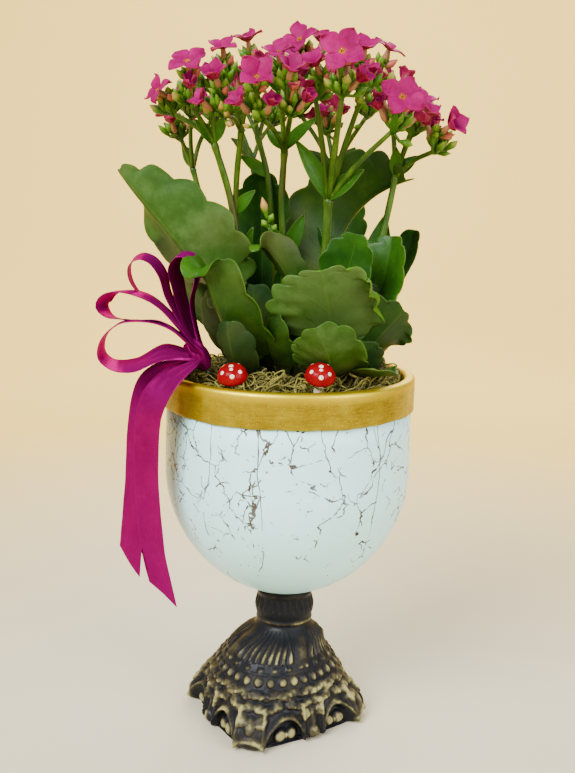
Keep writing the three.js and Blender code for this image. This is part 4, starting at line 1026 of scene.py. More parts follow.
def makeLeafSkin():
    material, tree, shader = newMaterial("leafSkin", **{
        "Specular IOR Level": 0.14,
        "Subsurface Weight": 0.04,
        "Subsurface Radius": (0.002, 0.004, 0.001),
        "Subsurface Scale": 0.4,
    })
    place = objectPlace(tree)
    patches = mottled(tree, 34.0, 1.7)
    lines = useGroup(tree, veins, dict(zip(("Spacing", "Slant"), leafShape["veins"])))
    vein, rib = lines["Vein"], lines["Rib"]
    tone, under = mark(tree, "tone"), mark(tree, "under")
    varied = times(tree, calc(tree, "SUBTRACT", patches, 0.5), 0.55)
    # each leaf's tone, which is partly painted light and shade, with the blotches on it
    toneWithShade = plus(tree, span(tree, tone, -1.0, 1.0), varied)
    above = ramp(tree, toneWithShade, [
        (0.0, (0.006, 0.036, 0.006)),
        (0.4, (0.014, 0.064, 0.003)),
        (0.7, (0.026, 0.094, 0.002)),
        (1.0, (0.050, 0.14, 0.003)),
    ])
    below = ramp(tree, toneWithShade, [
        (0.0, (0.009, 0.030, 0.006)),
        (0.4, (0.014, 0.047, 0.004)),
        (0.7, (0.026, 0.072, 0.007)),
        (1.0, (0.052, 0.112, 0.022)),
    ])
    above = tint(tree, above, vein, 0.16, (0.05, 0.13, 0.01))
    above = tint(tree, above, rib, 0.35, (0.06, 0.14, 0.012))
    below = tint(tree, below, vein, 0.12, (0.065, 0.13, 0.014))
    below = tint(tree, below, rib, 0.28, (0.08, 0.145, 0.016))
    specks = span(tree, noise(tree, place, 1300.0, 1.0), 0.70, 0.76)
    below = tint(tree, below, specks, 0.15, (0.13, 0.17, 0.06))
    bronzed = span(tree, noise(tree, place, 17.0, 2.0), 0.5, 0.66)
    below = tint(tree, below, bronzed, 0.48, (0.065, 0.05, 0.012))
    margin = span(tree, calc(tree, "ABSOLUTE", mark(tree, "across")), 0.955, 0.995)
    color = tint(tree, blendColors(tree, under, above, below), margin, 0.4, (0.08, 0.14, 0.015))
    relief = times(tree, plus(tree, vein, rib), span(tree, under, 0.0, 1.0, -1.0, 1.0))
    relief = plus(tree, relief, times(tree, noise(tree, place, 420.0, 3.0), 0.5))
    rough = plus(tree, span(tree, under, 0.0, 1.0, 0.32, 0.42), times(tree, patches, 0.12))
    connect(tree, shader, color, bump(tree, relief, 0.35, 0.0005), rough)
    return material


leafSkin = makeLeafSkin()


def leafPatch(leaf):
    shape = leafShape
    columns = shape["columns"]
    petioleRows, bladeRows = shape["rows"]
    petiole = np.linspace(-1, 0, petioleRows, endpoint=False)
    t = np.concatenate([petiole, np.linspace(0, 0.997, bladeRows)])[:, None]
    v = acrossPlaces(columns)
    middle, across = leafSurface(leaf, t + 0 * v, v + 0 * t)
    thickness = mix(shape["petioleThickness"], shape["thickness"], ease(t, -0.25, 0.3))
    half = thickness * edgeRound(columns, 0.55) * (1 - 0.35 * ease(t, 0.7, 1.0))
    # a groove along the midrib above, and a rib that stands out below
    groove = ridge(across * v, 0, 1.3) * between(t, -0.6, 0.1, 0.55, 0.95)
    rings = shell(middle, half)
    normal = unit(rings[:, :columns] - middle + 1e-9)
    rings[:, 1:columns - 1] -= normal[:, 1:-1] * (0.4 * groove[:, 1:-1, None])
    rings[:, columns:] -= normal[:, -2:0:-1] * (0.55 * groove[:, -2:0:-1, None])
    return patch(rings, tone=leaf[-1], **shellMarks(columns, np.clip(t, 0, 1)))


for leaf in leaves:
    name = leaf[0]
    inner = [("inner", *other[1:]) for other in innerLeaves if other[0] == name]
    grown = [leafPatch(each) for each in (leaf, *inner)]
    addPiece(f"leaf_{name}_fine", grown, [leafSkin], [f"leaf_{name}"])
print("leaves made")


# The flower stalks, with their branches, bracts, small leaves and clusters of buds

stalks = {
    "a": {
        "path": [(-20, -8, 168), (-20, -8, 196), (-25, -5, 242), (-34, -5, 297), (-43, -8, 327)],
        "radius": (2.7, 1.7),
        "clusters": [(-54, -22, 345), (-64, -12, 341), (-42, -14, 351)],
        "bracts": [(-43, -8, 327, -52, -16, 338), (-43, -8, 327, -36, -12, 341)],
    },
    "b": {
        "path": [(-30, 25, 168), (-30, 25, 204), (-47, 33, 270), (-60, 38, 315)],
        "radius": (2.5, 1.5),
        "clusters": [(-66, 33, 330), (-50, 44, 341), (-58, 14, 342)],
        "bracts": [(-60, 38, 315, -66, 42, 327)],
    },
    "c": {
        "path": [(-15, 6, 168), (-16, 5, 196), (-30, 1, 262), (-31, -4, 303), (-28, -12, 334)],
        "radius": (2.4, 1.5),
        "clusters": [(-35, -38, 339), (-23, -18, 354), (-36, -20, 355)],
        "bracts": [(-31, -2, 290, -21, -8, 302)],
    },
    "d": {
        "path": [(-8, 16, 168), (-9, 16, 196), (-10, 14, 262), (-15, 13, 310), (-21, 13, 332)],
        "radius": (2.4, 1.5),
        "clusters": [(-23, 13, 353), (-31, 30, 350), (-8, 26, 361)],
        "bracts": [(-15, 13, 310, -30, 10, 321)],
    },
    "e": {
        "path": [(-1, -5, 168), (-2, -4, 198), (-4, -6, 262), (-6, -8, 298), (-5, -10, 324)],
        "radius": (2.5, 1.7),
        "clusters": [(-15, -48, 337), (-1, -44, 340), (-8, -24, 353), (2, -16, 361)],
        "bracts": [(-5, -10, 324, 11, -22, 340), (-5, -10, 324, -15, -6, 334)],
    },
    "f": {
        "path": [(18, -18, 168), (18, -18, 198), (18, -18, 262), (19, -20, 299)],
        "radius": (3, 2.1),
        "clusters": [(11, -33, 348), (24, -48, 349), (35, -27, 352), (50, -40, 333)],
        "bracts": [(19, -20, 299, 2, -30, 328), (19, -20, 299, 36, -28, 314)],
    },
    "g": {
        "path": [(36, -10, 168), (37, -11, 198), (44, -8, 250), (55, -4, 312)],
        "radius": (2.5, 1.6),
        "clusters": [(62, -12, 333), (73, -22, 324), (50, 2, 353), (64, 14, 337)],
        "bracts": [(55, -4, 312, 66, -8, 322), (55, -4, 312, 54, -10, 326)],
    },
    "h": {
        "path": [(15, 32, 168), (15, 33, 200), (20, 46, 280), (22, 50, 314)],
        "radius": (2.6, 1.6),
        "clusters": [(18, 56, 336), (40, 40, 345), (2, 56, 346), (26, 28, 359)],
        "bracts": [(22, 50, 314, 34, 54, 328), (22, 50, 314, 8, 54, 326)],
    },
    "i": {
        "path": [(-14, 34, 168), (-15, 35, 200), (-22, 46, 290), (-26, 48, 320)],
        "radius": (2.4, 1.5),
        "clusters": [(-36, 54, 342), (-16, 60, 340)],
        "bracts": [(-26, 48, 320, -38, 56, 332)],
    },
}
stalkLeaves = {
    # base, tip and greatest half width
    "e": [(-3, -6, 266, 6, -12, 290, 4.5), (-3, -6, 266, -12, -14, 284, 4)],
    "g": [(40, -10, 232, 52, 22, 292, 9)],
    "c": [(-29, 2, 258, -22, -6, 282, 4)],
}
blooms = [
    # throat, the way it faces, petal length and stalk
    ((-71, -20, 352), (-0.65, -0.6, 0.45), 9.5, "a"),
    ((-54, -35, 365), (-0.15, -0.6, 0.8), 11, "a"),
    ((-37, -25, 373), (-0.1, -0.45, 0.9), 9, "c"),
    ((-38, -50, 356), (-0.25, -0.65, 0.7), 10, "c"),
    ((-26, 0, 380), (-0.2, -0.3, 0.95), 9.5, "d"),
    ((-17, -66, 355), (0.05, -0.85, 0.5), 11.5, "e"),
    ((-1, -60, 359), (0.2, -0.6, 0.75), 9.5, "e"),
    ((-8, -36, 370), (-0.1, -0.6, 0.8), 9, "e"),
    ((2, -24, 378), (-0.35, -0.65, 0.65), 11, "e"),
    ((13, 6, 381), (0.2, -0.35, 0.9), 9.5, "h"),
    ((23, -70, 367), (0.05, -0.92, 0.38), 12, "f"),
    ((11, -47, 363), (-0.4, -0.6, 0.7), 9.5, "f"),
    ((35, -34, 373), (0.1, -0.5, 0.85), 9, "f"),
    ((49, 0, 377), (0.4, -0.2, 0.9), 9.5, "g"),
    ((53, -55, 348), (0.15, -0.85, 0.5), 12, "f"),
    ((67, -10, 350), (0.35, -0.5, 0.8), 9, "g"),
    ((79, -36, 336), (0.6, -0.65, 0.45), 10.5, "g"),
    ((-73, 42, 344), (-0.6, 0.2, 0.75), 9, "b"),
    ((20, 66, 352), (0.1, 0.65, 0.75), 10, "h"),
    ((-38, 62, 358), (-0.3, 0.6, 0.75), 10.5, "i"),
    ((50, 48, 358), (0.5, 0.5, 0.7), 10.5, "h"),
]
tubeLength = 7.0  # of an open bloom, below its throat
budShape = {"length": 8.0, "growth": 2.6, "radius": 2.15, "rows": 9, "sides": 8}
clusterShape = {
    "nearest": 13.0,
    "furthest": 17.0,
    "spread": 0.27,
    "tries": 36,
    "cupOpening": 0.95,
    "upright": 0.42,
    "opened": 0.7,  # a bud whose draw is greater is a half-open flower
}
spikes = {
    # points of a thin side stem, then its buds: foot, length, radius and tone
    "e": (
        [(-4, -6, 258), (-9, -17, 272), (-12, -21, 283)],
        [
            ((-11, -20, 280), (0.6, -0.2, 1), 5.5, 1.7, 0.1),
            ((-12.5, -20.5, 282), (-0.7, -0.2, 1), 6, 1.8, 0.2),
            ((-12.5, -21, 285), (0.5, -0.3, 1), 6, 1.8, 0.15),
            ((-13, -21, 287), (-0.25, 0, 1), 12, 2.2, 0.62),
        ],
    ),
}

golden = (1 + 5 ** 0.5) / 2
ballCorners = unit([
    (-1, golden, 0), (1, golden, 0), (-1, -golden, 0), (1, -golden, 0),
    (0, -1, golden), (0, 1, golden), (0, -1, -golden), (0, 1, -golden),
    (golden, 0, -1), (golden, 0, 1), (-golden, 0, -1), (-golden, 0, 1),
])
ballFaces = np.array([
    (0, 11, 5), (0, 5, 1), (0, 1, 7), (0, 7, 10), (0, 10, 11),
    (1, 5, 9), (5, 11, 4), (11, 10, 2), (10, 7, 6), (7, 1, 8),
    (3, 9, 4), (3, 4, 2), (3, 2, 6), (3, 6, 8), (3, 8, 9),
    (4, 9, 5), (2, 4, 11), (6, 2, 10), (8, 6, 7), (9, 8, 1),
])


def turnedTo(points, heading):
    # the shortest turn that takes +Z to heading
    axis = np.cross(upward, heading)
    cosine = heading[2]
    return points + np.cross(axis, points) + np.cross(axis, np.cross(axis, points)) / (1 + cosine)


def bladePatch(base, tip, halfWidth, tone, rows=12, columns=9):
    # a small pointed leaf that shows its upper face outwards from the plant's axis. Its width is a sine to
    # a power, and its lift falls with the square of the length and rises with the square of v
    base, tip = np.array(base, float), np.array(tip, float)
    s = np.linspace(0, 0.995, rows)[:, None]
    v = acrossPlaces(columns)
    along = tip - base
    outwards = np.array([0.0, -0.85 if base[1] < 15 else 0.85, 0.5])
    side = unit(np.cross(outwards, along))
    up = unit(np.cross(along, side))
    width = np.sin(np.pi * (0.08 + 0.92 * s) ** 0.9) ** 0.85 * halfWidth * v
    lift = 0.09 * np.linalg.norm(along) * (0.4 * np.sin(np.pi * s) - s ** 2) + 0.28 * halfWidth * v ** 2
    middle = base + along * s[..., None] + side * width[..., None] + up * lift[..., None]
    rings = shell(middle, 0.5 * edgeRound(columns, 0.6) + 0 * s)
    return patch(rings, material=1, tone=tone, **shellMarks(columns, s))


def budRings(length, radius, bulge):
    # the radius eases out to bulge and then falls with a power of the length that is left. A cosine of four
    # times the turn makes it a little square
    shape = budShape
    s = shares(shape["rows"])[:, None]
    turn = 2 * np.pi * np.arange(shape["sides"])[None] / shape["sides"]
    lower = mix(0.3, 1, ease((s / bulge).clip(0, 1), -0.1, 1.05))
    wide = np.where(s < bulge, lower, ((1 - s) / (1 - bulge)).clip(0.03) ** 0.75)
    across = radius * wide * (1 + 0.13 * np.cos(4 * turn) * ease(s, 0.2, 0.6))
    twist = turn + 0.25 * s
    rings = np.stack([across * np.cos(twist), across * np.sin(twist), length * s + 0 * turn], -1)
    return rings, s + 0 * turn


def budPatch(foot, way, length, radius, tone, extra):
    # a bud on its foot, rolled by a random angle
    rings, along = budRings(length, radius, 0.6)
    return patch(setOn(rings, foot, way, extra.uniform(0, 6)), material=2, along=along, tone=tone)


def makeStemSkin():
    material, tree, shader = newMaterial("stemSkin", **{"Specular IOR Level": 0.25})
    place = objectPlace(tree)
    value = mottled(tree, 60.0, 1.4, (3, 3, 0.7))
    green = ramp(tree, value, [
        (0.1, (0.018, 0.055, 0.002)),
        (0.5, (0.035, 0.085, 0.002)),
        (0.9, (0.065, 0.13, 0.003)),
    ])
    blush = span(tree, noise(tree, place, 26.0, 3.0), 0.52, 0.68)
    color = tint(tree, green, blush, 0.5, (0.075, 0.035, 0.012))
    relief = bump(tree, noise(tree, place, 600.0), 0.3, 0.0003)
    connect(tree, shader, color, relief, span(tree, value, 0.0, 1.0, 0.36, 0.5))
    return material


def makeBudSkin():
    material, tree, shader = newMaterial("budSkin", **{
        "Roughness": 0.42,
        "Specular IOR Level": 0.25,
        "Subsurface Weight": 0.05,
        "Subsurface Radius": (0.003, 0.003, 0.001),
        "Subsurface Scale": 0.4,
    })
    reach, ripe = mark(tree, "along"), mark(tree, "tone")
    green = ramp(tree, weighed(tree, mottled(tree, 150.0, 1.1), 0.5, reach, 0.5), [
        (0.1, (0.018, 0.075, 0.001)),
        (0.5, (0.05, 0.14, 0.002)),
        (0.9, (0.11, 0.22, 0.004)),
    ])
    pale = ramp(tree, ripe, [
        (0.3, (0.16, 0.25, 0.015)),
        (0.6, (0.38, 0.2, 0.05)),
        (0.95, (0.38, 0.07, 0.06)),
    ])
    low, high = span(tree, ripe, 0.0, 1.0, 0.85, 0.05), span(tree, ripe, 0.0, 1.0, 1.1, 0.45)
    color = blendColors(tree, span(tree, reach, low, high), green, pale)
    connect(tree, shader, color, bump(tree, noise(tree, objectPlace(tree), 900.0), 0.2, 0.0002))
    return material


stemSkin = makeStemSkin()
budSkin = makeBudSkin()
placedBalls = [
    (np.array(at) + unit(faces) * petal * 0.1, petal * 0.92, "bloom") for at, faces, petal, _ in blooms
]


def clusterBuds(name, node, heading, random):
    # the way, the reach and whether there is room, for each face of a small ball at the branch's end
    shape = clusterShape
    corners = turnedTo(spun(ballCorners, 6 * next(random)), heading)
    found = []
    for face in ballFaces:
        way = unit(corners[face].mean(0))
        reach = mix(shape["nearest"], shape["furthest"], next(random))
        bud = node + way * (reach - budShape["length"] / 2)
        clear = all(
            owner == name or np.linalg.norm(centre - bud) > radius + budShape["length"] / 2
            for centre, radius, owner in placedBalls
        )
        kept = way.dot(heading) > shape["spread"] and clear
        if kept:
            placedBalls.append((bud, budShape["length"] / 2 - 0.5, name))
        found.append((way, reach, kept))
    return found


def branch(start, end, radii, rise, rows=12, sides=8):
    # a thin stem that leaves along the stalk and bends over to its end
    points, tangents = curveThrough([start, mix(start, end, 0.42) + rise, end], rows)
    return patch(tube(points, tangents, np.linspace(*radii, rows), sides))


def straightTube(start, end, radii, sides):
    # a round bar between two points, with one radius for each ring
    return tube(*evenly(np.array([start, end], float), len(radii)), radii, sides)


def fillers(node, heading, taken, random):
    # smaller buds among the others: way, reach, length and radius of each that finds room
    found = []
    for _ in range(clusterShape["tries"]):
        way = unit(heading * random.uniform(0.6, 1.5) + random.normal(0, 0.5, 3))
        length = random.uniform(6.0, 9.0)
        reach = random.uniform(length + 1, 14.5)
        radius = length * random.uniform(0.22, 0.27)
        centre = node + way * (reach - length / 2)
        if all(np.linalg.norm(centre - other) > 0.8 * (radius + size) for other, size in taken):
            taken.append((centre, radius))
            found.append((way, reach, length, radius))
    return found


def branchPatches(path, radius, nodes, extra):
    # a branch to each cluster, with two small leaves at its end
    rise = unit(path[-1] - path[-2])
    patches = []
    for node in nodes:
        patches.append(branch(path[-1] - 2 * rise, node, (radius * 0.85, 1.25), 3 * rise))
        out = unit((node - path[-1]) * [1, 1, 0])
        for turn in (-0.9, 0.9):
            tip = node + (spun(out, turn) + 0.9 * upward) * extra.uniform(7, 10)
            patches.append(bladePatch(node - 1.5 * rise, tip, extra.uniform(1.8, 2.6), 0.5))
    return patches


def bloomFoot(at, faces, nodes, extra):
    # the stem of an open bloom from the nearest cluster, its four sepals, and a bud beside each
    axis = unit(faces)
    base = np.array(at, float) - axis * (tubeLength + 0.3)
    calyx = base - axis * 3.5
    near = min(nodes, key=lambda node: np.linalg.norm(node - base))
    line, directions = curveThrough([near, calyx, base], 12)
    patches = [patch(tube(line, directions, np.linspace(0.95, 1.35, 12) ** 1.5, 8))]
    for turn in range(4):
        angle = turn * np.pi / 2 + 0.4
        sepal, reach = budRings(5.0, 1.0, 0.35)
        sepal = setOn(sepal + [1.2, 0, 0], base - axis * 0.8, axis, angle)
        patches.append(patch(sepal, material=2, along=reach * 0.5, tone=0.1))
        sideways = np.cross(faces, [0.3, 0.2, 1.0])
        aside = unit(sideways * math.cos(angle) + upward * math.sin(angle) * 0.3)
        length, radius = extra.uniform(7.5, 10.5), extra.uniform(1.8, 2.3)
        tone = 0.9 if turn == 2 else 0.3
        patches.append(budPatch(calyx + aside, unit(mix(axis, aside, 0.38)), length, radius, tone, extra))
    return patches


def clusterPatches(name, number, node, heading, random, extra):
    # the buds and half-open flowers of one cluster, each on its twig, and smaller buds in the gaps
    shape = clusterShape
    patches, taken = [], []
    for way, reach, kept in clusterBuds(name, node, heading, random):
        if not kept:
            continue
        draw = extra.random()
        length = budShape["length"] + budShape["growth"] * extra.uniform(0.3, 1.3)
        foot = node + way * (reach + extra.uniform(-1.5, 0.8) - length)
        raised = unit(mix(way, upward, shape["upright"]))
        taken.append((foot + raised * length / 2, budShape["radius"]))
        patches.append(patch(straightTube(node, foot + raised * 0.8, [1.0, 0.85, 0.95], 6)))
        if draw > shape["opened"]:
            opening = shape["cupOpening"] + extra.uniform(-0.3, 0.3)
            at = foot + raised * (length - 1.5)
            petal, turn = extra.uniform(7, 8.8), extra.uniform(0, 6)
            patches.extend(flower(at, raised, petal, turn, number, opening, (3, 4), cupGrid))
        else:
            radius = budShape["radius"] * extra.uniform(0.85, 1.08)
            patches.append(budPatch(foot, raised, length, radius, 1.3 * draw ** 2, extra))
    for way, reach, length, radius in fillers(node, heading, taken, extra):
        foot = node + way * (reach - length)
        raised = unit(mix(way, upward, shape["upright"]))
        patches.append(patch(straightTube(node, foot + raised * 0.5, [0.9, 0.75, 0.8], 6)))
        patches.append(budPatch(foot, raised, length, radius, extra.random() ** 2 * 0.6, extra))
    return patches


def makeStalk(name):
    # a tapering stem with a slow swelling, its branches and leaves, the feet of its blooms and its clusters
    stalk = stalks[name]
    random = seeded(ord(name) * 977)
    extra = np.random.default_rng(ord(name))
    path = np.array(stalk["path"], float)
    nodes = [np.array(node, float) for node in stalk["clusters"]]
    points, tangents = curveThrough(path, 56)
    low, high = stalk["radius"]
    run = shares(56)
    radii = mix(low, high, run) * (1 + 0.04 * np.sin(37 * run) + 0.3 * ridge(run, 0.985, 0.02))
    patches = [patch(tube(points, tangents, radii, 12)), *branchPatches(path, high, nodes, extra)]
    bractWidth = 5.0 if name == "f" else 3.8
    for bract in stalk["bracts"]:
        patches.append(bladePatch(bract[:3], bract[3:], bractWidth, 0.35, 18, 11))
    for small in stalkLeaves.get(name, []):
        patches.append(bladePatch(small[:3], small[3:6], small[6], 0.1, 22, 13))
    for at, faces, _, owner in blooms:
        if owner == name:
            patches.extend(bloomFoot(at, faces, nodes, extra))
    for number, node in enumerate(nodes):
        heading = unit(mix(unit(node - path[-1]), upward, 0.45))
        patches.extend(clusterPatches(name, number, node, heading, random, extra))
    stem, buds = spikes.get(name, ([], []))
    if stem:
        patches.append(patch(tube(*curveThrough(stem, 16), np.linspace(1.1, 0.9, 16), 8)))
    for foot, way, length, radius, tone in buds:
        patches.append(budPatch(foot, unit(way), length, radius, tone, extra))
    skins = [stemSkin, leafSkin, budSkin, petalSkin, throatSkin]
    addPiece(f"stalk_{name}_fine", patches, skins, [f"stalk_{name}"])


# The open blooms: four broad pointed petals round a yellow throat

petalShape = {"halfWidth": 0.42, "tipLift": 0.06, "sideLift": 0.09, "thickness": 0.38}
petalGrid = (15, 9)  # rows and columns of an open bloom's petal
cupGrid = (10, 7)  # those of the half-open flowers in the clusters


def makePetalSkin():
    material, tree, shader = newMaterial("petalSkin", **{
        "Roughness": 0.55,
        "Specular IOR Level": 0.08,
        "Subsurface Weight": 0.05,
        "Subsurface Radius": (0.004, 0.0005, 0.001),
        "Subsurface Scale": 0.4,
    })
    # fine lines along the petal, on a mottled ground
    wave = calc(tree, "SINE", times(tree, mark(tree, "across"), 26.0))
    lines = times(tree, plus(tree, wave, 1.0), 0.5)
    value = weighed(tree, mottled(tree, 110.0, 1.1), 0.85, lines, 0.07)
    front = ramp(tree, value, [
        (0.1, (0.15, 0.0001, 0.045)),
        (0.5, (0.23, 0.0002, 0.078)),
        (0.9, (0.32, 0.0004, 0.12)),
    ])
    back = ramp(tree, value, [
        (0.1, (0.17, 0.002, 0.035)),
        (0.5, (0.26, 0.012, 0.06)),
        (0.9, (0.40, 0.07, 0.09)),
    ])
    front = blendColors(tree, span(tree, mark(tree, "along"), 0.07, 0.01), front, (0.35, 0.07, 0.003))
    color = blendColors(tree, mark(tree, "under"), front, back)
    connect(tree, shader, color, bump(tree, value, 0.25, 0.0004))
    return material


def makeThroatSkin():
    material, tree, shader = newMaterial("throatSkin", Roughness=0.5)
    value = mottled(tree, 300.0, 1.2)
    outside = ramp(tree, value, [(0.2, (0.2, 0.09, 0.03)), (0.8, (0.34, 0.13, 0.06))])
    inside = ramp(tree, value, [(0.2, (0.30, 0.09, 0.004)), (0.8, (0.5, 0.22, 0.015))])
    connect(tree, shader, blendColors(tree, span(tree, mark(tree, "along"), 0.55, 0.75), outside, inside))
    return material


petalSkin = makePetalSkin()
throatSkin = makeThroatSkin()


def petalRings(length, turn, seed, opened, grid):
    # a petal whose foot is near zero, with the flower's axis along Z. Its width is a sine to a power, its
    # middle is lifted by eased steps and its margins by the square of v, and opened is how far it is raised
    # at its foot, in radians
    shape = petalShape
    rows, columns = grid
    random = np.random.default_rng(seed)
    s = shares(rows)[:, None]
    v = acrossPlaces(columns)
    width = np.sin(np.pi * (0.1 + 0.9 * s) ** 1.12).clip(0) ** 0.82 * shape["halfWidth"]
    width = np.maximum(width * random.uniform(0.97, 1.08), 0.006) * length
    lift = mix(shape["sideLift"], shape["tipLift"], ease(s, 0.5, 1)) * ease(s, 0, 0.5)
    lift = lift + 0.07 * v ** 2 * np.sin(np.pi * s) - 0.06 * ease(s, 0.7, 1) * (1 - v ** 2)
    lift = lift + random.uniform(-0.05, 0.05) * s ** 2
    twist = random.uniform(-0.08, 0.08) * s * v * 2
    raised = opened + random.uniform(-0.12, 0.12)
    hinge = 0.1 * length
    out, high = 0.9 * s * length + 0 * v, (lift + twist) * length
    x = hinge + out * math.cos(raised) - high * math.sin(raised)
    z = out * math.sin(raised) + high * math.cos(raised)
    rings = shell(np.stack([x, width * v, z], -1), shape["thickness"] * edgeRound(columns, 0.5) + 0 * s)
    return spun(rings, turn), shellMarks(columns, s)


throatProfile = np.array([
    (0.5, -7.0), (1.2, -6.6), (1.7, -4.5), (1.4, -2.0), (1.2, -0.6),
    (1.3, 0.1), (1.1, 0.3), (0.8, 0.1), (0.5, -1.2),
])


def flower(at, faces, petal, turn, seed, opened, materials, grid):
    # four petals, a tube with its throat and four stamens. materials are the numbers of petal and throat
    patches = []
    for quarter in range(4):
        rings, marks = petalRings(petal, turn + quarter * np.pi / 2, seed * 4 + quarter, opened, grid)
        patches.append(patch(setOn(rings, at, faces), material=materials[0], **marks))
    rings = turnedRings(throatProfile, 16)
    along = shares(len(throatProfile))[:, None] + 0 * rings[..., 0]
    patches.append(patch(setOn(rings, at, faces), material=materials[1], along=along))
    stamen = turnedRings([(0.1, -0.4), (0.26, -0.2), (0.3, 0.1), (0.1, 0.4)], 6)
    for quarter in range(4):
        angle = turn + quarter * np.pi / 2 + 0.78
        ball = stamen + [0.6 * math.cos(angle), 0.6 * math.sin(angle), 0.45]
        patches.append(patch(setOn(ball, at, faces), material=materials[1], along=1.0))
    return patches


for number, (at, faces, petal, _) in enumerate(blooms):
    name = f"bloom_{number + 1:02d}"
    # the large blooms lie open, but for one, and the others are raised by amounts that vary
    opened = 0.1 + 0.85 * ((number * 0.618) % 1) * (petal < 11) + 0.5 * (petal == 11.5)
    patches = flower(at, faces, petal, 0.5 + number * 0.37, number, opened, (0, 1), petalGrid)
    addPiece(f"{name}_fine", patches, [petalSkin, throatSkin], [name])
for name in stalks:
    makeStalk(name)
print("blooms and stalks made")


# The satin ribbon: four loops and two tails from one gather

ribbonShape = {
    "width": 19.0,
    "pinch": 4.0,  # width at the gather
    "slant": 6.0,  # of the tails' cut ends
    "thickness": 0.3,
    "rows": (90, 110),  # of a loop and of a tail
    "columns": 21,
}
tieShape = {
    "ends": [(-53, -32.3, 222.5), (-43, -31, 208)],
    "radius": 5.2,
    "rows": 30,
    "sides": 48,
}
gather = (-45, -31, 214)
bands = [
    # route after the gather, the band's width direction at shares of its length, and whether it is a loop,
    # which returns to the gather
    ([
        (-55, -30, 229), (-64, -31, 247), (-67, -32, 258), (-72, -33, 265), (-78, -34, 267),
        (-83, -34, 264), (-84, -33, 257), (-80, -32, 249), (-68, -30, 239),
    ], [
        (0, (0, 1, 0)), (0.35, (0.1, 1, 0.05)), (0.5, (0, 1, 0.12)),
        (0.72, (-0.2, 1, -0.08)), (1, (-0.1, 1, 0)),
    ], True),
    ([
        (-60, -37, 235), (-71, -39, 245), (-82, -40, 249), (-92, -40, 248), (-97, -40, 242),
        (-93, -39, 236), (-82, -38, 234), (-66, -37, 233),
    ], [
        (0, (0, 1, 0)), (0.3, (0, 1, 0.04)), (0.5, (0.28, 1, -0.1)),
        (0.7, (-0.12, 1, -0.16)), (1, (0, 1, -0.1)),
    ], True),
    ([
        (-61, -40, 230), (-74, -42, 234), (-87, -43, 233), (-96, -43, 225), (-97, -43, 216),
        (-91, -43, 211), (-80, -42, 211), (-64, -40, 218),
    ], [
        (0, (0, 1, 0)), (0.3, (-0.12, 1, -0.05)), (0.6, (0, 1, 0.06)), (0.85, (0, 1, 0.6)), (1, (0, 1, 0.3)),
    ], True),
    ([
        (-55, -22, 233), (-60, -21, 250), (-62, -21, 262), (-57, -22, 269), (-51, -24, 267),
        (-49, -25, 257), (-52, -25, 244), (-50, -26, 230),
    ], [
        (0, (0.3, 1, 0)), (0.4, (0.25, 1, 0.1)), (0.55, (0.2, 1, 0.3)), (0.7, (0.05, 1, 0)), (1, (0.1, 1, 0)),
    ], True),
    ([
        (-51, -40, 212), (-58, -49, 208), (-65, -52, 200), (-71, -50, 188), (-73, -48, 169),
        (-73, -47, 149), (-72, -46, 131), (-70, -45, 110), (-65, -43, 85),
    ], [(0, (0.72, -0.7, 0.05)), (1, (0.78, -0.62, 0.05))], False),
    ([
        (-56, -32, 211), (-66, -34, 207), (-74, -34, 200), (-78, -34, 188), (-80, -34, 169),
        (-81, -34, 147), (-83, -34, 122), (-85, -34, 100),
    ], [(0, (0.75, -0.65, 0.05)), (1, (0.8, -0.6, 0.05))], False),
]


def makeSatin():
    material, tree, shader = newMaterial("satin", **{
        "Metallic": 0.55,
        "Roughness": 0.32,
        "Specular IOR Level": 0.0,
        "Specular Tint": (0.8, 0.07, 0.5, 1),
    })
    # A painted sheen: where the band is seen edge-on, its colour turns a lighter pink
    edgeOnSheen = put(tree, "ShaderNodeLayerWeight", {"Blend": 0.4}).outputs["Facing"]
    value = mottled(tree, 80.0, 0.9)
    deep = ramp(tree, value, [(0.2, (0.125, 0.0005, 0.055)), (0.8, (0.187, 0.0008, 0.083))])
    color = blendColors(tree, edgeOnSheen, deep, (0.31, 0.0025, 0.165))
    edge = span(tree, calc(tree, "ABSOLUTE", mark(tree, "across")), 0.94, 0.97)
    color = tint(tree, color, edge, 0.3, (0.3, 0.005, 0.17))
    ribs = calc(tree, "SINE", times(tree, mark(tree, "along"), 1500.0))
    fine = plus(tree, times(tree, ribs, 0.3), noise(tree, objectPlace(tree), 260.0, 2.0))
    connect(tree, shader, color, bump(tree, fine, 0.25, 0.0003))
    return material


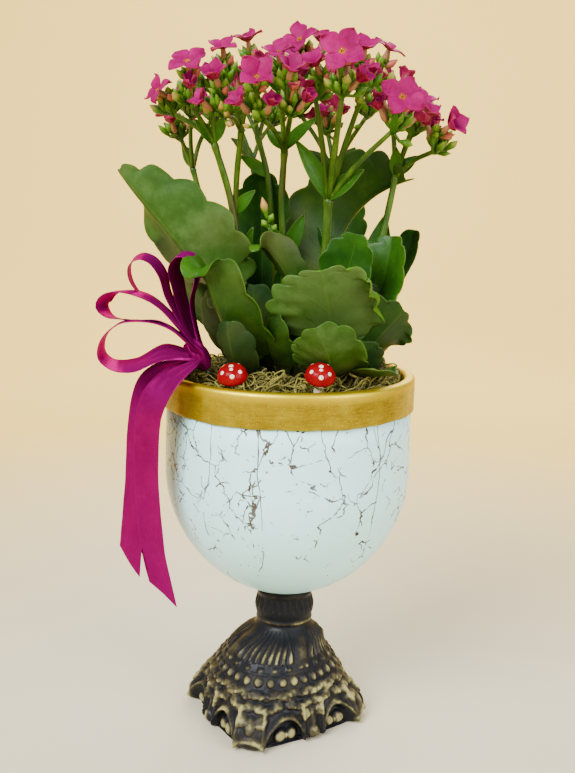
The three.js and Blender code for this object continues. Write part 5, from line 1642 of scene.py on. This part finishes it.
def bandSurface(route, across, loop, number):
    # a band along a smooth curve, with v from edge to edge. Its half width opens from the gather, and the
    # sum of its waves raises it along its normal
    shape = ribbonShape
    points = [gather, *route, gather] if loop else [gather, *route]
    rows = shape["rows"][0 if loop else 1]
    centre, tangents = curveThrough(points, rows)
    share = shares(rows)[:, None]
    steps = [step for step, _ in across]
    vectors = np.array([vector for _, vector in across], float)
    across = unit(np.stack([np.interp(share[:, 0], steps, vectors[:, axis]) for axis in range(3)], 1))
    side = unit(across - tangents * (tangents * across).sum(1)[:, None])
    normal = np.cross(tangents, side)
    opened = np.sin(np.pi * share).clip(0) ** 0.6 if loop else ease(share, 0, 0.15)
    half = mix(shape["pinch"], shape["width"], opened) / 2
    v = acrossPlaces(shape["columns"])
    # pleats near the gather, a slow wave elsewhere, a belly across the band and small dents
    closeness = ridge(share, 0, 0.16) + (ridge(share, 1, 0.16) if loop else 0)
    pleats = 0.8 * closeness * np.sin(9.5 * v + number)
    wave = 0.1 * np.sin(4 * v + 11 * share + number) * (1 - closeness)
    belly = (0.3 if loop else 0.7) * np.cos(2.0 * v + 1.5 * share + 2 * number) * opened
    dents = 0.15 * np.sin(31 * share + 2.5 * v + number) * np.sin(13 * share + number) * opened
    slant = 0 if loop else shape["slant"] * ease(share, 0.86, 1.0)
    middle = centre[:, None] + side[:, None] * (half * v)[..., None]
    middle = middle + tangents[:, None] * (slant * v + 0 * share)[..., None]
    middle = middle + normal[:, None] * (pleats + wave + belly + dents)[..., None]
    rings = shell(middle, shape["thickness"] * edgeRound(shape["columns"], 0.3) + 0 * share)
    length = np.linalg.norm(np.diff(centre, axis=0), axis=1).sum()
    return rings, shellMarks(shape["columns"], share * length * mm), length


def tiePatch():
    # a short bulge round the gather, folded along its length
    shape = tieShape
    points, tangents = evenly(np.array(shape["ends"]), shape["rows"])
    bulge = shape["radius"] * np.sin(np.pi * np.linspace(0.12, 0.95, shape["rows"])) ** 0.5
    rings = tube(points, tangents, bulge, shape["sides"])
    turns = 2 * np.pi * np.arange(shape["sides"])[None] / shape["sides"]
    rise = shares(shape["rows"])[:, None]
    fold = 1 + 0.1 * np.sin(7 * turns + 5 * rise) + 0.07 * np.sin(12 * turns - 4 * rise)
    rings = points[:, None] + (rings - points[:, None]) * fold[..., None]
    return patch(rings, along=rise * 0.018 + 0 * turns, across=0.5, under=0.0)


def makeRibbon():
    patches = []
    for number, band in enumerate(bands):
        rings, marks, length = bandSurface(*band, number)
        patches.append(patch(rings, **marks))
    patches.append(tiePatch())
    ribbon = addPiece("ribbonBow", patches, [makeSatin()], ["ribbon_bow"])


makeRibbon()


# The toadstools on picks, and the bow's wire

toadstools = [
    # name, place and lean
    ("left", (-28, -52, 208.5), (-0.1, -0.35, 1)),
    ("right", (17, -57, 210.5), (0.08, -0.4, 1)),
]
capOval = [7.75, 7.75, 5.94]  # the half widths of the oval that the dots sit on
capProfile = [(0.05, -1.2), (3.5, -1.6), (6.8, -2.6), (7.9, -1), (7.4, 1.8), (5.6, 4.3), (3, 5.6), (0.05, 6)]
capDots = [
    # degrees from the top, degrees round from the front, radius
    (5, 0, 1.3), (26, 2, 1.05), (49, -52, 1.15), (50, 50, 1.15), (60, 4, 1.25),
    (44, 140, 1.0), (64, 190, 1.05), (48, -130, 1.0),
]


def makeCapSkin():
    material, tree, shader = newMaterial("capLacquer", **{"Roughness": 0.15, "Specular IOR Level": 0.06})
    value = mottled(tree, 160.0, 1.0)
    color = ramp(tree, value, [
        (0.2, (0.15, 0.0001, 0.002)),
        (0.6, (0.21, 0.0002, 0.004)),
        (0.95, (0.27, 0.001, 0.005)),
    ])
    below = span(tree, mark(tree, "along"), 0.30, 0.24)
    color = blendColors(tree, below, color, (0.25, 0.16, 0.08))
    connect(tree, shader, color, bump(tree, value, 0.08, 0.0004))
    return material


def makePickSkin():
    stops = [(0.1, (0.45, 0.36, 0.22)), (0.6, (0.75, 0.66, 0.50)), (0.95, (0.88, 0.83, 0.72))]
    return plainMaterial("paintedPick", 200.0, 1.2, stops, (0.25, 0.0004), Roughness=0.55)


def makeWireSkin():
    stops = [(0.1, (0.02, 0.03, 0.015)), (0.9, (0.09, 0.12, 0.07))]
    return plainMaterial("coatedWire", 320.0, 1.2, stops, None, Metallic=0.5, Roughness=0.45)


def capPatches(profile, place, axis):
    # the cap, and its dots as low domes that sit square on its oval
    rings = turnedRings(profile, 48)
    along = shares(len(profile))[:, None] + 0 * rings[..., 0]
    patches = [patch(setOn(rings, place, axis), along=along)]
    sideways = unit(np.cross(np.array([0, 1.0, 0]), axis))
    capFrame = np.stack([sideways, np.cross(axis, sideways), axis])
    for polar, azimuth, radius in capDots:
        polar, azimuth = math.radians(polar), math.radians(azimuth)
        level = np.array([math.sin(azimuth), -math.cos(azimuth), 0])
        seat = (level * math.sin(polar) + upward * math.cos(polar)) * capOval
        rows = [(radius, -0.5), (radius, -0.1), (radius * 0.88, 0.1), (radius * 0.5, 0.2), (0.05, 0.22)]
        dome = setOn(turnedRings(rows, 20), seat, seat / [60.0, 60.0, 36.0])
        patches.append(patch(np.array(place, float) + dome @ capFrame, material=1, along=1.0))
    return patches


def makeToadstools():
    cap, cream, wire = makeCapSkin(), makePickSkin(), makeWireSkin()
    profile = curveThrough([(radius, 0, height) for radius, height in capProfile], 40)[0][:, [0, 2]]
    profile[0, 0] = profile[-1, 0] = 0.05
    for name, place, lean in toadstools:
        axis = unit(lean)
        node = f"toadstool_{name}"
        patches = capPatches(profile, place, axis)
        addPiece(f"{node}_cap_fine", patches, [cap, cream], [f"{node}_cap"])
        top = np.array(place, float) - axis * 1.5
        bottom = top - axis * 12
        stem = straightTube(bottom, top, mix(2.8, 2.2, ease(shares(20), 0, 0.7)), 24)
        pin = straightTube(bottom - upward * 46, mix(bottom, top, 0.3), np.full(12, 0.6), 10)
        patches = [patch(stem), patch(pin, material=1)]
        addPiece(f"{node}_pick_fine", patches, [cream, wire], [f"{node}_pick"])
    leg = straightTube((-40, -26, 150), (-43, -31, 208), np.full(24, 0.8), 12)
    addPiece("bowWire", [patch(leg)], [wire], ["bow_wire"])


makeToadstools()
print("ribbon, toadstools and wire made")


# Floor, light and camera

def makeFloor():
    # a level sheet that sweeps up far behind in a quarter round, so that no edge shows behind the object
    run = np.linspace(0, np.pi / 2, 25)
    depth = np.concatenate([[-3.0, 0.0], 1.3 + 1.2 * np.sin(run), [2.5]])
    rise = np.concatenate([[0.0, 0.0], 1.2 * (1 - np.cos(run)), [2.4]])
    across = np.array([-4.0, 4.0])
    places = np.stack(np.broadcast_arrays(across[None], depth[:, None], rise[:, None]), -1).reshape(-1, 3)
    first = 2 * np.arange(len(depth) - 1)
    mesh = bpy.data.meshes.new("paleFloor")
    mesh.from_pydata(places.tolist(), [], np.stack([first, first + 1, first + 3, first + 2], 1).tolist())
    mesh.polygons.foreach_set("use_smooth", np.ones(len(first), bool))
    floor = bpy.data.objects.new("paleFloor", mesh)
    bpy.context.scene.collection.objects.link(floor)
    material, tree, shader = newMaterial("paleFloorPaint", **{"Roughness": 0.8, "Specular IOR Level": 0.2})
    # The floor is warm yellow far off, and paler and a little lighter near the object: a painted pool of
    # light round the pot
    far = blendColors(tree, mottled(tree, 4.0, 0.6), (0.66, 0.46, 0.11), (0.70, 0.49, 0.125))
    away = put(tree, "ShaderNodeVectorMath", {0: objectPlace(tree)}, operation="LENGTH").outputs["Value"]
    connect(tree, shader, blendColors(tree, span(tree, away, 0.12, 0.75), (0.60, 0.54, 0.40), far))
    mesh.materials.append(material)


def makeWorld():
    world = bpy.data.worlds.new("softRoom")
    world.use_nodes = True
    background = world.node_tree.nodes["Background"]
    background.inputs["Color"].default_value = (0.98, 0.97, 0.95, 1)
    background.inputs["Strength"].default_value = 0.75
    bpy.context.scene.world = world


def addLight(name, place, target, size, power, color):
    light = bpy.data.lights.new(name, "AREA")
    light.shape = "RECTANGLE"
    light.size, light.size_y = size
    light.energy = power
    light.color = color
    lamp = bpy.data.objects.new(name, light)
    lamp.matrix_world = aimed(place, target)
    bpy.context.scene.collection.objects.link(lamp)


def aimed(place, target):
    # looking from place to target, with Z kept upwards
    back = unit(np.array(place, float) - np.array(target, float))
    right = unit(np.cross(upward, back))
    up = np.cross(back, right)
    matrix = np.eye(4)
    matrix[:3, 0], matrix[:3, 1], matrix[:3, 2], matrix[:3, 3] = right, up, back, place
    return Matrix(matrix.tolist())


cameraPlace = {
    "at": (14.2, -581.6, 303.3),
    "down": 10.67,  # degrees
    "yaw": -1.49,
    "roll": 1.26,
    "focal": 1050.0,  # pixels
    "height": 773,
}


def makeCamera():
    down, yaw, roll = [math.radians(cameraPlace[key]) for key in ("down", "yaw", "roll")]
    forward = np.array([math.sin(yaw) * math.cos(down), math.cos(yaw) * math.cos(down), -math.sin(down)])
    level = np.array([math.cos(yaw), -math.sin(yaw), 0.0])
    up = np.cross(level, forward)
    right = math.cos(roll) * level + math.sin(roll) * up
    top = math.cos(roll) * up - math.sin(roll) * level
    matrix = np.eye(4)
    matrix[:3, 0], matrix[:3, 1], matrix[:3, 2] = right, top, -forward
    matrix[:3, 3] = np.array(cameraPlace["at"]) * mm
    data = bpy.data.cameras.new("photoCamera")
    data.sensor_width = 36.0
    data.lens = 36.0 * cameraPlace["focal"] / cameraPlace["height"]
    data.clip_start = 0.01
    camera = bpy.data.objects.new("photoCamera", data)
    camera.matrix_world = Matrix(matrix.tolist())
    bpy.context.scene.collection.objects.link(camera)
    bpy.context.scene.camera = camera


makeFloor()
makeWorld()
addLight("windowLight", (-0.8, -1.1, 1.25), (0, 0, 0.2), (1.0, 0.8), 64.0, (0.97, 0.99, 1.0))
addLight("roomLight", (1.1, -0.9, 0.8), (0, 0, 0.22), (0.9, 0.9), 24.0, (0.98, 0.99, 1.0))
addLight("backLight", (0.3, 1.1, 1.0), (0, 0, 0.25), (1.0, 0.6), 14.0, (1.0, 0.97, 0.93))
addLight("wallLight", (0, 1.0, 1.5), (0, 2.4, 0.35), (2.6, 0.5), 95.0, (1.0, 0.97, 0.93))
makeCamera()
print("floor, light and camera made")
